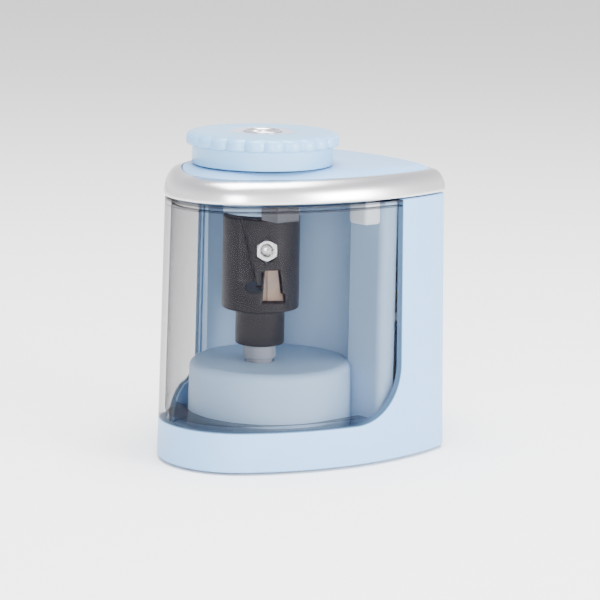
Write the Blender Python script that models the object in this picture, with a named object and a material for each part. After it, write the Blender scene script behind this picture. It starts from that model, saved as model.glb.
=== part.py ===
"""Battery pencil sharpener with a wrap-round shavings bin, modelled as its separate pieces.

Metres, +Z up, the nose towards -Y. The origin is under the middle of the footprint, and the
cutter turns about a vertical axis at Y = AXIS_Y.
"""

import math

import bmesh
import bpy
from mathutils import Matrix, Vector

MM = 0.001
GAP = 0.3 * MM

# Plan outline at the level of the trim ring: a nose arc, two side arcs, small corners and a rear arc.
NOSE_Y = -18.73 * MM
NOSE_RADIUS = 20.86 * MM
NOSE_HALF_ANGLE = math.radians(58.0)
SIDE_RADIUS = 77.4 * MM
CORNER_RADIUS = 3.4 * MM
REAR_RADIUS = 76.3 * MM
REAR_Y = 39.6 * MM

# Heights.
SHELL_BOTTOM = 0.7 * MM
SEAM_Z = 11.7 * MM
SHELL_TOP = 74.3 * MM
RING_BOTTOM = 74.7 * MM
RING_TOP = 81.1 * MM
PLATE_TOP = 82.8 * MM
RING_WIDTH = 3.6 * MM
NOSE_SETBACK = 1.9 * MM
FAR_RIM_RISE = 1.5 * MM
KNOB_BOTTOM = 83.2 * MM
KNOB_DISC_Z = 88.4 * MM
KNOB_TOP = 92.2 * MM

# How far the wall stands outside the plan outline at the floor and at the seam.
FLOOR_FLARE = 1.82 * MM
SEAM_FLARE = 1.42 * MM
SHELL_WALL = 2.2 * MM
BIN_WALL = 1.8 * MM
BIN_FLOOR = 1.1 * MM
BIN_FLOOR_REACH = 12 * MM
BIN_LIFT = 0.3 * MM
WALL = 1.8 * MM

# Window edges: where the opaque side begins, and the round at its foot.
NEAR_EDGE_Y = 16.0 * MM
NEAR_EDGE_ROUND = 16.0 * MM
FAR_EDGE_Y = -13.9 * MM
FAR_EDGE_ROUND = 7.5 * MM
FAR_EDGE_ROUND_Z = 24.6 * MM
FAR_TOE_Y = -17.6 * MM
FAR_TOE_RADIUS = 9.9 * MM
FAR_SEAM_Z = 7.6 * MM
FAR_SEAM_X = -14.6 * MM

# The turning axis, the drum under the cutter, and the wall behind it.
AXIS_Y = -11.0 * MM
DRUM_Y = -7.1 * MM
DRUM_RADIUS = 22.95 * MM
DRUM_TOP = 26.8 * MM
DRUM_ROUND = 2.2 * MM
RECESS_RADIUS = 22.2 * MM
DECK_BOTTOM = 5.8 * MM
DECK_TOP = 7.5 * MM
BACK_WALL_Y = 10.4 * MM
BACK_WALL_END_X = 27.1 * MM
PARTITION_TOP = 73.6 * MM
FLANGE_X = -22.0 * MM

# Cutter.
CUTTER_RADIUS = 10.9 * MM
CUTTER_TOP = 68.6 * MM
CUTTER_FOOT = 42.2 * MM
BOSS_RADIUS = 6.95 * MM
BOSS_FOOT = 31.9 * MM
PENCIL_RADIUS = 4.3 * MM
BLADE_AZIMUTH = math.radians(-31.5)
SLOT_AZIMUTH = math.radians(-38.8)
FACET_DEPTH = 8.2 * MM
NUT_Z = 60.4 * MM
SHAFT_RADIUS = 3.7 * MM
COLLAR_RADIUS = 4.6 * MM
GUIDE_FOOT = 69.4 * MM
PRESS_TRAVEL = 0.8 * MM
POST_FOOT = 2.7 * MM

# Gear train: pinion to compound gear to output gear.
OUTPUT_TEETH, SMALL_TEETH, OUTPUT_MODULE = 40, 10, 0.8 * MM
LARGE_TEETH, PINION_TEETH, PINION_MODULE = 44, 8, 0.7 * MM
GEAR_LOW, GEAR_HIGH = 6.2 * MM, 9.3 * MM
GEAR_ROOM_TOP = 9.8 * MM
GEAR_ROOM_RADIUS = 5.2 * MM
MOTOR_X = 17.3 * MM
MOTOR_Y = 23.0 * MM
MOTOR_RADIUS = 10.0 * MM
MOTOR_FLAT = 7.5 * MM

# Battery bay for two AA cells standing side by side, and the door behind it.
BAY_LEFT, BAY_RIGHT = -21.0 * MM, 8.6 * MM
BAY_FRONT, BAY_BOTTOM, BAY_TOP = 21.6 * MM, 13.4 * MM, 70.2 * MM
DOOR_LEFT, DOOR_RIGHT = -20.4 * MM, 8.0 * MM
DOOR_BOTTOM, DOOR_TOP = 15.4 * MM, 66.0 * MM
DOOR_WALL = 1.8 * MM

# Knob.
SKIRT_RADIUS = 19.7 * MM
KNOB_RADIUS = 21.4 * MM
KNOB_LOBES = 24
BUSH_RADIUS = 5.1 * MM

COLOURS = {
    "light_blue": ((0.58, 0.70, 0.83), 0.42, 0.0),
    "smoke_clear": ((0.42, 0.46, 0.50), 0.08, 0.0),
    "silver": ((0.78, 0.78, 0.80), 0.28, 1.0),
    "charcoal": ((0.06, 0.06, 0.07), 0.45, 0.0),
    "white_plastic": ((0.80, 0.80, 0.80), 0.40, 0.0),
    "steel": ((0.62, 0.62, 0.63), 0.30, 1.0),
    "blade_steel": ((0.45, 0.36, 0.29), 0.35, 1.0),
    "brass": ((0.75, 0.58, 0.30), 0.30, 1.0),
    "rubber": ((0.05, 0.05, 0.05), 0.80, 0.0),
    "red_wire": ((0.60, 0.04, 0.03), 0.50, 0.0),
    "black_wire": ((0.03, 0.03, 0.03), 0.50, 0.0),
}


def clear_scene():
    for obj in list(bpy.data.objects):
        bpy.data.objects.remove(obj, do_unlink=True)


def material(name):
    found = bpy.data.materials.get(name)
    if found:
        return found
    colour, roughness, metallic = COLOURS[name]
    made = bpy.data.materials.new(name)
    made.use_nodes = True
    shader = made.node_tree.nodes["Principled BSDF"]
    shader.inputs["Base Color"].default_value = (*colour, 1.0)
    shader.inputs["Roughness"].default_value = roughness
    shader.inputs["Metallic"].default_value = metallic
    return made


def add_object(name, mesh_data, colour, pivot=None):
    """Finish a bmesh as one object whose origin is the pivot, with its material."""
    bmesh.ops.recalc_face_normals(mesh_data, faces=mesh_data.faces)
    if pivot is not None:
        bmesh.ops.translate(mesh_data, verts=mesh_data.verts, vec=-Vector(pivot))
    mesh = bpy.data.meshes.new(name)
    mesh_data.to_mesh(mesh)
    mesh_data.free()
    mesh.shade_smooth()
    mesh.set_sharp_from_angle(angle=math.radians(35))
    mesh.materials.append(material(colour))
    obj = bpy.data.objects.new(name, mesh)
    bpy.context.collection.objects.link(obj)
    if pivot is not None:
        obj.location = pivot
    return obj


def cutter_from(name, mesh_data):
    """A helper object that a Boolean uses and that is never part of the model."""
    bmesh.ops.recalc_face_normals(mesh_data, faces=mesh_data.faces)
    mesh = bpy.data.meshes.new(name)
    mesh_data.to_mesh(mesh)
    mesh_data.free()
    obj = bpy.data.objects.new(name, mesh)
    bpy.context.collection.objects.link(obj)
    obj.hide_render = True
    obj.display_type = "WIRE"
    return obj


def boolean(obj, helper, operation="DIFFERENCE"):
    modifier = obj.modifiers.new(f"{operation.lower()}_{helper.name}", "BOOLEAN")
    modifier.object = helper
    modifier.operation = operation
    return obj


def extrude(points, low, high, axis="Z"):
    """A bmesh prism of a flat outline between two levels along one axis."""
    made = bmesh.new()
    place = {
        "Z": lambda a, b, c: (a, b, c),
        "X": lambda a, b, c: (c, a, b),
        "Y": lambda a, b, c: (a, c, b),
    }[axis]
    bottom = [made.verts.new(place(a, b, low)) for a, b in points]
    top = [made.verts.new(place(a, b, high)) for a, b in points]
    count = len(points)
    made.faces.new(bottom)
    made.faces.new(top)
    for i in range(count):
        j = (i + 1) % count
        made.faces.new((bottom[i], bottom[j], top[j], top[i]))
    return made


def box(low, high):
    (x0, y0, z0), (x1, y1, z1) = low, high
    return extrude([(x0, y0), (x1, y0), (x1, y1), (x0, y1)], z0, z1)


def loft(rings, close=False):
    """Bridge rings of points. An open loft is capped, and a closed one joins its last ring to its first."""
    made = bmesh.new()
    rows = [[made.verts.new(point) for point in ring] for ring in rings]
    count = len(rows[0])
    pairs = list(zip(rows, rows[1:])) + ([(rows[-1], rows[0])] if close else [])
    for lower, upper in pairs:
        for i in range(count):
            j = (i + 1) % count
            made.faces.new((lower[i], lower[j], upper[j], upper[i]))
    if not close:
        made.faces.new(rows[0])
        made.faces.new(rows[-1])
    return made


def circle(radius, centre=(0.0, 0.0), count=48, start=0.0):
    return [
        (
            centre[0] + radius * math.cos(start + math.tau * i / count),
            centre[1] + radius * math.sin(start + math.tau * i / count),
        )
        for i in range(count)
    ]


def turned(profile, centre=(0.0, 0.0), count=48, hollow=False):
    """A solid turned about a vertical axis from (radius, z) points. A hollow one has a closed profile."""
    rings = [[(x, y, z) for x, y in circle(radius, centre, count)] for radius, z in profile]
    return loft(rings, close=hollow)


def arc(centre, radius, start, end, steps):
    return [
        (
            centre[0] + radius * math.cos(start + (end - start) * i / steps),
            centre[1] + radius * math.sin(start + (end - start) * i / steps),
        )
        for i in range(steps + 1)
    ]


def quarter_round(start, end, steps):
    """Points of a quarter ellipse that leaves start upwards and reaches end sideways."""
    (x0, z0), (x1, z1) = start, end
    return [
        (
            x1 + (x0 - x1) * math.cos(math.pi / 2 * i / steps),
            z0 + (z1 - z0) * math.sin(math.pi / 2 * i / steps),
        )
        for i in range(steps + 1)
    ]


def meeting_point(first, first_reach, second, second_reach, right_side=True):
    """Where two circles cross, on the right or the left of the line from the first to the second."""
    span = Vector(second) - Vector(first)
    length = span.length
    along = (first_reach**2 - second_reach**2 + length**2) / (2 * length)
    across = math.sqrt(first_reach**2 - along**2)
    ahead = span / length
    side = Vector((ahead.y, -ahead.x)) * (across if right_side else -across)
    return Vector(first) + ahead * along + side


def outline(offset=0.0, nose_setback=0.0):
    """The plan outline moved outwards by offset, anticlockwise from the nose."""
    nose_radius = NOSE_RADIUS + offset
    side_radius = SIDE_RADIUS + offset
    rear_radius = REAR_RADIUS + offset
    corner = max(CORNER_RADIUS + offset, 1.0 * MM)
    nose = Vector((0.0, NOSE_Y))
    towards = Vector((math.sin(NOSE_HALF_ANGLE), -math.cos(NOSE_HALF_ANGLE)))
    side_centre = nose - towards * (SIDE_RADIUS - NOSE_RADIUS)
    rear_centre = Vector((0.0, REAR_Y - REAR_RADIUS))
    corner_centre = meeting_point(
        side_centre, side_radius - corner, rear_centre, rear_radius - corner, right_side=False
    )
    if corner_centre.x < 0:
        corner_centre = meeting_point(
            side_centre, side_radius - corner, rear_centre, rear_radius - corner
        )
    from_side = corner_centre - side_centre
    from_rear = corner_centre - rear_centre
    side_end = math.atan2(from_side.y, from_side.x)
    rear_start = math.atan2(from_rear.y, from_rear.x)
    right = arc(nose, nose_radius, -math.pi / 2, NOSE_HALF_ANGLE - math.pi / 2, 8)
    right += arc(side_centre, side_radius, NOSE_HALF_ANGLE - math.pi / 2, side_end, 9)[1:]
    right += arc(corner_centre, corner, side_end, rear_start, 4)[1:]
    right += arc(rear_centre, rear_radius, rear_start, math.pi / 2, 5)[1:]
    if nose_setback:
        reach = NOSE_RADIUS + abs(NOSE_Y)
        right = [(x, y + nose_setback * max(0.0, -y / reach) ** 3) for x, y in right]
    left = [(-x, y) for x, y in right[-2:0:-1]]
    return right + left


def flare(z):
    """How far the side wall stands outside the plan outline at a height."""
    if z <= SEAM_Z:
        return FLOOR_FLARE + (SEAM_FLARE - FLOOR_FLARE) * z / SEAM_Z
    return SEAM_FLARE * (RING_BOTTOM - z) / (RING_BOTTOM - SEAM_Z)


def outline_ring(profile, nose_setback=0.0):
    """A band around the outline from a closed profile of (offset, z) points."""
    rings = [[(x, y, z) for x, y in outline(offset, nose_setback)] for offset, z in profile]
    return loft(rings, close=True)


def outline_solid(profile, nose_setback=0.0):
    rings = [[(x, y, z) for x, y in outline(offset, nose_setback)] for offset, z in profile]
    return loft(rings)


def window_sides(clear=0.0, top=RING_TOP):
    """The prisms that open the window, made smaller all round by clear."""
    ahead = -60 * MM
    seam = SEAM_Z + clear
    corner = (NEAR_EDGE_Y - NEAR_EDGE_ROUND, SEAM_Z + NEAR_EDGE_ROUND)
    near = [(NEAR_EDGE_Y - clear, top)] + arc(corner, NEAR_EDGE_ROUND - clear, 0.0, -math.pi / 2, 8)
    near += [(ahead, seam), (ahead, top)]
    round_y = FAR_EDGE_Y - FAR_EDGE_ROUND
    far = [(FAR_EDGE_Y - clear, top)]
    far += arc((round_y, FAR_EDGE_ROUND_Z), FAR_EDGE_ROUND - clear, 0.0, -math.pi / 2, 7)
    toe = FAR_TOE_RADIUS + clear
    lean = math.acos((round_y - FAR_TOE_Y) / toe)
    far += arc((FAR_TOE_Y, FAR_SEAM_Z), toe, lean, math.pi - math.asin(clear / toe), 7)[1:]
    far += [(ahead, FAR_SEAM_Z + clear), (ahead, top)]
    far_x = FAR_SEAM_X - clear
    middle = [(NOSE_Y, top), (NOSE_Y, seam), (ahead, seam), (ahead, top)]
    return {
        "near": extrude(near, 0.0, 50 * MM, axis="X"),
        "middle": extrude(middle, far_x - 0.5 * MM, 0.5 * MM, axis="X"),
        "far": extrude(far, -50 * MM, far_x, axis="X"),
    }


def gear(teeth, module, low, high, centre, phase=0.0):
    """A spur gear with straight-flanked teeth."""
    pitch = teeth * module / 2
    root, tip = pitch - 1.15 * module, pitch + 0.85 * module
    step = math.tau / teeth
    points = []
    for i in range(teeth):
        for share, radius in ((-0.32, root), (-0.14, tip), (0.14, tip), (0.32, root)):
            angle = phase + (i + share) * step
            points.append((centre[0] + radius * math.cos(angle), centre[1] + radius * math.sin(angle)))
    return extrude(points, low, high)


def drill(obj, centre, radius, low, high, name="bore"):
    """Cut a vertical round hole."""
    hole = turned([(radius, low), (radius, high)], centre, 20)
    boolean(obj, cutter_from(f"{obj.name}_{name}", hole))
    return obj


def pan_screw(name, centre, head_z, length, up, colour="steel", radius=1.1 * MM):
    """A pan-head screw with a cross slot, its head at head_z and its shank going up or down."""
    way = 1.0 if up else -1.0
    head = 2.1 * MM
    profile = [
        (head * 0.75, head_z - way * 0.5 * MM),
        (head, head_z),
        (head, head_z + way * 0.9 * MM),
        (radius, head_z + way * 0.9 * MM),
        (radius, head_z + way * (length - 0.8 * MM)),
        (radius * 0.45, head_z + way * length),
    ]
    screw = add_object(name, turned(profile, centre, 14), colour)
    slot = 0.35 * MM
    for axis, (half_x, half_y) in {"x": (1.3 * MM, slot), "y": (slot, 1.3 * MM)}.items():
        x, y = centre
        z0, z1 = sorted((head_z - way * 0.8 * MM, head_z + way * 0.35 * MM))
        helper = box((x - half_x, y - half_y, z0), (x + half_x, y + half_y, z1))
        boolean(screw, cutter_from(f"{name}_slot_{axis}", helper))
    return screw


def gear_centres():
    output = Vector((0.0, AXIS_Y))
    motor = Vector((MOTOR_X, MOTOR_Y))
    low_reach = (OUTPUT_TEETH + SMALL_TEETH) * OUTPUT_MODULE / 2
    high_reach = (LARGE_TEETH + PINION_TEETH) * PINION_MODULE / 2
    return output, meeting_point(output, low_reach, motor, high_reach), motor


def mesh_phase(teeth, own_centre, other_teeth, other_centre, other_phase):
    """The phase that puts a tooth of this gear in a gap of the other one, on the line between them."""
    away = math.atan2(own_centre.y - other_centre.y, own_centre.x - other_centre.x)
    tooth_turn = (away - other_phase) * other_teeth / math.tau
    gap_error = (tooth_turn - 0.5) % 1.0
    return away + math.pi + (gap_error * math.tau / teeth)


def build_outer_shell():
    profile = [
        (flare(SHELL_BOTTOM), SHELL_BOTTOM),
        (flare(SEAM_Z), SEAM_Z),
        (flare(SHELL_TOP), SHELL_TOP),
        (flare(SHELL_TOP) - SHELL_WALL, SHELL_TOP),
        (flare(SEAM_Z) - SHELL_WALL, SEAM_Z),
        (flare(SHELL_BOTTOM) - SHELL_WALL, SHELL_BOTTOM),
    ]
    shell = add_object("outer_shell", outline_ring(profile), "light_blue")
    for side, prism in window_sides().items():
        boolean(shell, cutter_from(f"window_{side}", prism))
    door_hole = box(
        (DOOR_LEFT - GAP, REAR_Y - 8 * MM, DOOR_BOTTOM - GAP),
        (DOOR_RIGHT + GAP, REAR_Y + 8 * MM, DOOR_TOP + GAP),
    )
    boolean(shell, cutter_from("door_hole", door_hole))
    return shell


def partition_path(offset):
    """The front wall of the rear compartment: a step, the drum-shaped recess and a flat wall."""
    radius = RECESS_RADIUS + offset
    back = BACK_WALL_Y + offset
    left_y = FAR_EDGE_Y + 0.4 * MM + offset
    start = math.pi - math.asin((left_y - DRUM_Y) / radius)
    end = math.asin((back - DRUM_Y) / radius)
    right = BACK_WALL_END_X - offset
    return arc((0.0, DRUM_Y), radius, start, end, 24) + [(right, back), (right, NEAR_EDGE_Y - GAP)]


def far_wall_x(y, z):
    """Where the shell's inner face stands on the far side."""
    path = [point for point in outline(flare(z) - SHELL_WALL) if point[0] < 0]
    (x0, y0), (x1, y1) = sorted(path, key=lambda point: abs(point[1] - y))[:2]
    return x0 + (x1 - x0) * (y - y0) / (y1 - y0)


def far_flange():
    """The end of the partition, which leans with the shell and fills up to it."""
    front = FAR_EDGE_Y + 0.5 * MM
    back = front + WALL + 0.2 * MM
    rings = []
    for z in (DECK_BOTTOM + 0.6 * MM, PARTITION_TOP - 0.1 * MM):
        corners = [(FLANGE_X, front), (FLANGE_X, back)]
        corners += [(far_wall_x(y, z) + GAP, y) for y in (back, front)]
        rings.append([(x, y, z) for x, y in corners])
    return loft(rings)


def build_inner_chassis():
    inner = flare(DECK_BOTTOM) - SHELL_WALL - GAP
    deck = add_object(
        "inner_chassis", outline_solid([(inner, DECK_BOTTOM), (inner, DECK_TOP)]), "light_blue"
    )
    front = [(FLANGE_X - 0.6 * MM, FAR_EDGE_Y + 0.4 * MM)] + partition_path(0.0)
    wall = extrude(front + partition_path(WALL)[::-1], DECK_BOTTOM + 0.4 * MM, PARTITION_TOP)
    drum_side = [(DRUM_RADIUS + 0.4 * MM, DECK_BOTTOM + 0.8 * MM)]
    shoulder = (DRUM_RADIUS, DRUM_TOP - DRUM_ROUND)
    drum_side += quarter_round(shoulder, (DRUM_RADIUS - DRUM_ROUND, DRUM_TOP), 3)
    drum = turned(drum_side, (0.0, DRUM_Y), 56)
    boolean(deck, cutter_from("partition_form", wall), "UNION")
    boolean(deck, cutter_from("flange_form", far_flange()), "UNION")
    boolean(deck, cutter_from("drum_form", drum), "UNION")
    rear_path = partition_path(WALL + 0.5 * MM)
    rear = rear_path[:-1] + [
        (rear_path[-2][0], 50 * MM),
        (-40 * MM, 50 * MM),
        (-40 * MM, rear_path[0][1]),
    ]
    boolean(deck, cutter_from("rear_well", extrude(rear, DECK_BOTTOM - 1 * MM, DECK_TOP + 2 * MM)))
    inside = DRUM_RADIUS - WALL - 0.5 * MM
    hollow = turned([(inside, DECK_BOTTOM - 1 * MM), (inside, DRUM_TOP - WALL)], (0.0, DRUM_Y), 40)
    boolean(deck, cutter_from("drum_hollow", hollow))
    drill(deck, (0.0, AXIS_Y), SHAFT_RADIUS + 0.5 * MM, 20 * MM, 30 * MM, "shaft_hole")
    drill(deck, gear_centres()[1], GEAR_ROOM_RADIUS, 4 * MM, GEAR_ROOM_TOP, "gear_room")
    add_screw_posts(deck, base_screw_places()[:2], POST_FOOT, DECK_BOTTOM + 0.8 * MM)
    return deck


def build_shavings_bin():
    """The clear wall around the nose, its deeper far skirt and the thin floor around the drum."""
    skirt = FAR_SEAM_Z + BIN_LIFT
    floor = SEAM_Z + BIN_LIFT + 0.05 * MM
    floor_top = floor + BIN_FLOOR
    top = SHELL_TOP - 0.1 * MM
    profile = [
        (flare(skirt), skirt),
        (flare(floor), floor),
        (flare(top), top),
        (flare(top) - BIN_WALL, top),
        (flare(floor_top) - BIN_WALL, floor_top),
        (flare(floor_top) - BIN_FLOOR_REACH, floor_top),
        (flare(floor) - BIN_FLOOR_REACH, floor),
        (flare(floor) - BIN_WALL, floor),
        (flare(skirt) - BIN_WALL, skirt),
    ]
    tray = add_object("shavings_bin", outline_ring(profile), "smoke_clear")
    keep = [
        cutter_from(f"bin_{side}", prism)
        for side, prism in window_sides(BIN_LIFT, 90 * MM).items()
    ]
    for more in keep[1:]:
        boolean(keep[0], more, "UNION")
    boolean(tray, keep[0], "INTERSECT")
    reach = DRUM_RADIUS + 0.9 * MM
    clear = arc((0.0, DRUM_Y), reach, math.pi, math.tau, 28) + [(reach, 60 * MM), (-reach, 60 * MM)]
    boolean(tray, cutter_from("drum_clearance", extrude(clear, 5 * MM, 40 * MM)))
    return tray


def build_base_plate():
    inner = flare(1.7 * MM) - SHELL_WALL - GAP
    plate = add_object(
        "base_plate", outline_solid([(inner, 1.1 * MM), (inner, 2.4 * MM)]), "light_blue"
    )
    for i, (x, y) in enumerate(base_screw_places(), 1):
        hole = turned(
            [(2.5 * MM, 0.0), (2.5 * MM, 1.9 * MM), (1.5 * MM, 1.9 * MM), (1.5 * MM, 5 * MM)], (x, y), 20
        )
        boolean(plate, cutter_from(f"base_screw_hole_{i}", hole))
    for i, (x, y) in enumerate(foot_places(), 1):
        seat = turned([(4.2 * MM, 0.0), (4.2 * MM, 1.5 * MM)], (x, y), 20)
        boolean(plate, cutter_from(f"foot_seat_{i}", seat))
    return plate


def add_screw_posts(obj, places, low, high):
    """Posts with a screw hole from below, hanging from a floor."""
    for i, (x, y) in enumerate(places, 1):
        post = turned([(2.4 * MM, low), (2.4 * MM, high)], (x, y), 18)
        boolean(obj, cutter_from(f"{obj.name}_post_{i}", post), "UNION")
        hole = turned([(1.4 * MM, low - 1 * MM), (1.4 * MM, low + 4.2 * MM)], (x, y), 18)
        boolean(obj, cutter_from(f"{obj.name}_post_hole_{i}", hole))


def base_screw_places():
    return [(-21.6 * MM, -14 * MM), (21.6 * MM, -14 * MM), (-16.5 * MM, 30 * MM), (4.5 * MM, 30 * MM)]


def foot_places():
    return [(-13 * MM, -29 * MM), (13 * MM, -29 * MM), (-22 * MM, 22 * MM), (22 * MM, 22 * MM)]


def build_base_fasteners():
    for i, (x, y) in enumerate(base_screw_places(), 1):
        pan_screw(f"base_screw_{i}", (x, y), 0.9 * MM, 5.4 * MM, up=True)
    for i, (x, y) in enumerate(foot_places(), 1):
        profile = [(3.2 * MM, 0.0), (3.8 * MM, 0.25 * MM), (3.8 * MM, 1.1 * MM - GAP)]
        add_object(f"rubber_foot_{i}", turned(profile, (x, y), 20), "rubber")


def smooth_share(value, low, high):
    share = min(1.0, max(0.0, (value - low) / (high - low)))
    return share * share * (3 - 2 * share)


def rim_ring(offset, z, setback):
    """A level of the ring or the plate, set back at the nose and raised a little on its far side."""
    points = []
    for x, y in outline(offset, setback):
        raised = FAR_RIM_RISE * smooth_share(-x, 2 * MM, 15 * MM) * smooth_share(-y, -22 * MM, 10 * MM)
        lift = raised * smooth_share(z, RING_BOTTOM + 0.5 * MM, RING_TOP)
        points.append((x, y, min(z + lift, max(z, PLATE_TOP))))
    return points


def build_trim_ring():
    profile = [(-0.05 * MM, RING_BOTTOM)]
    profile += quarter_round((0.3 * MM, RING_BOTTOM + 0.5 * MM), (-RING_WIDTH, RING_TOP), 5)
    profile += [
        (-RING_WIDTH, RING_TOP - 1.2 * MM),
        (-2.5 * MM, RING_TOP - 2.4 * MM),
        (-2.5 * MM, RING_BOTTOM),
    ]
    rings = []
    for offset, z in profile:
        share = min(1.0, max(0.0, -offset / RING_WIDTH))
        rings.append(rim_ring(offset, z, NOSE_SETBACK * share**1.5))
    return add_object("trim_ring", loft(rings, close=True), "silver")


def build_top_plate():
    rim = [
        (-2.9 * MM, RING_BOTTOM + 0.1 * MM, 1.3 * MM),
        (-2.9 * MM, RING_TOP - 2.7 * MM, 1.3 * MM),
        (-3.95 * MM, RING_TOP - 1.5 * MM, NOSE_SETBACK),
        (-3.95 * MM, RING_TOP - 0.1 * MM, NOSE_SETBACK),
        (-4.5 * MM, RING_TOP + 0.3 * MM, NOSE_SETBACK),
        (-6.2 * MM, RING_TOP + 1.1 * MM, NOSE_SETBACK),
        (-8.2 * MM, PLATE_TOP - 0.15 * MM, NOSE_SETBACK),
        (-11.0 * MM, PLATE_TOP, NOSE_SETBACK),
    ]
    plate = add_object("top_plate", loft([rim_ring(*level) for level in rim]), "light_blue")
    hollow = outline_solid([(-4.9 * MM, RING_BOTTOM - 2 * MM), (-4.9 * MM, RING_TOP - 1.6 * MM)])
    boolean(plate, cutter_from("plate_hollow", hollow))
    hole = turned([(9.2 * MM, 70 * MM), (9.2 * MM, 95 * MM)], (0.0, AXIS_Y), 40)
    boolean(plate, cutter_from("guide_hole", hole))
    return plate


def build_pencil_guide():
    centre = (0.0, AXIS_Y)
    bore = PENCIL_RADIUS + 0.1 * MM
    profile = [
        (bore, GUIDE_FOOT),
        (CUTTER_RADIUS - 0.1 * MM, GUIDE_FOOT),
        (CUTTER_RADIUS - 0.1 * MM, RING_TOP - 1.9 * MM),
        (8.9 * MM, RING_TOP - 1.9 * MM),
        (8.9 * MM, 84.0 * MM),
        (6.6 * MM, 84.0 * MM),
        (6.6 * MM, 88.0 * MM),
        (bore, 88.0 * MM),
    ]
    return add_object("pencil_guide", turned(profile, centre, 44, hollow=True), "light_blue")


def build_selector_knob():
    centre = (0.0, AXIS_Y)
    count = KNOB_LOBES * 3
    swell = 0.75 * MM

    def ring(radius, z, lobed):
        points = []
        for i in range(count):
            angle = math.tau * i / count
            wave = swell * lobed * (abs(math.cos(KNOB_LOBES * angle / 2)) - 1.0)
            reach = radius + wave
            points.append((reach * math.cos(angle), AXIS_Y + reach * math.sin(angle), z))
        return points

    rim = KNOB_RADIUS
    rings = [
        ring(SKIRT_RADIUS - 2.0 * MM, KNOB_BOTTOM, 0),
        ring(SKIRT_RADIUS, KNOB_BOTTOM, 0),
        ring(SKIRT_RADIUS - 0.1 * MM, KNOB_DISC_Z, 0),
        ring(rim - 0.7 * MM, KNOB_DISC_Z, 1),
        ring(rim, KNOB_DISC_Z + 0.9 * MM, 1),
        ring(rim, KNOB_TOP - 1.6 * MM, 1),
        ring(rim - 0.8 * MM, KNOB_TOP - 0.6 * MM, 0.9),
        ring(rim - 2.4 * MM, KNOB_TOP - 0.15 * MM, 0.3),
        ring(14.0 * MM, KNOB_TOP, 0),
        ring(9.4 * MM, KNOB_TOP, 0),
        ring(9.1 * MM, KNOB_TOP - 0.3 * MM, 0),
        ring(BUSH_RADIUS + GAP, KNOB_TOP - 0.3 * MM, 0),
        ring(BUSH_RADIUS + GAP, KNOB_DISC_Z, 0),
        ring(SKIRT_RADIUS - 2.0 * MM, KNOB_DISC_Z, 0),
    ]
    pivot = (0.0, AXIS_Y, KNOB_DISC_Z)
    knob = add_object("selector_knob", loft(rings, close=True), "light_blue", pivot)
    bush = turned(
        [
            (PENCIL_RADIUS, KNOB_DISC_Z + 0.1 * MM),
            (BUSH_RADIUS, KNOB_DISC_Z + 0.1 * MM),
            (BUSH_RADIUS, KNOB_TOP + 0.05 * MM),
            (BUSH_RADIUS - 0.35 * MM, KNOB_TOP + 0.2 * MM),
            (PENCIL_RADIUS + 0.35 * MM, KNOB_TOP + 0.05 * MM),
            (PENCIL_RADIUS, KNOB_TOP - 0.8 * MM),
        ],
        centre,
        40,
        hollow=True,
    )
    add_object("entry_bush", bush, "silver", pivot)
    return knob


def build_under_plate_blocks():
    """The bin catch and the bin switch, which hang under the plate behind the clear wall."""
    top = RING_BOTTOM - 0.2 * MM
    blocks = {
        "bin_catch": ((19.6, 4.2, 67.4), (26.9, 10.1), 1.0, 2, "white_plastic"),
        "bin_switch": ((11.2, -20.3, 69.1), (18.5, -12.4), 0.5, 1, "charcoal"),
    }
    for name, ((x0, y0, z0), (x1, y1), rounding, segments, colour) in blocks.items():
        made = add_object(name, box((x0 * MM, y0 * MM, z0 * MM), (x1 * MM, y1 * MM, top)), colour)
        bevel = made.modifiers.new("rounded", "BEVEL")
        bevel.width = rounding * MM
        bevel.segments = segments


def radial_frame(azimuth=BLADE_AZIMUTH):
    """Places things around the cutter: +X outwards, through the nut by default, and +Z up."""
    return Matrix.Translation((0.0, AXIS_Y, 0.0)) @ Matrix.Rotation(azimuth, 4, "Z")


def prism_mm(side, low, high):
    """A prism along X of a side outline, all in millimetres."""
    return extrude([(y * MM, z * MM) for y, z in side], low * MM, high * MM, axis="X")


def moved(made, matrix):
    bmesh.ops.transform(made, matrix=matrix, verts=made.verts)
    return made


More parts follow.
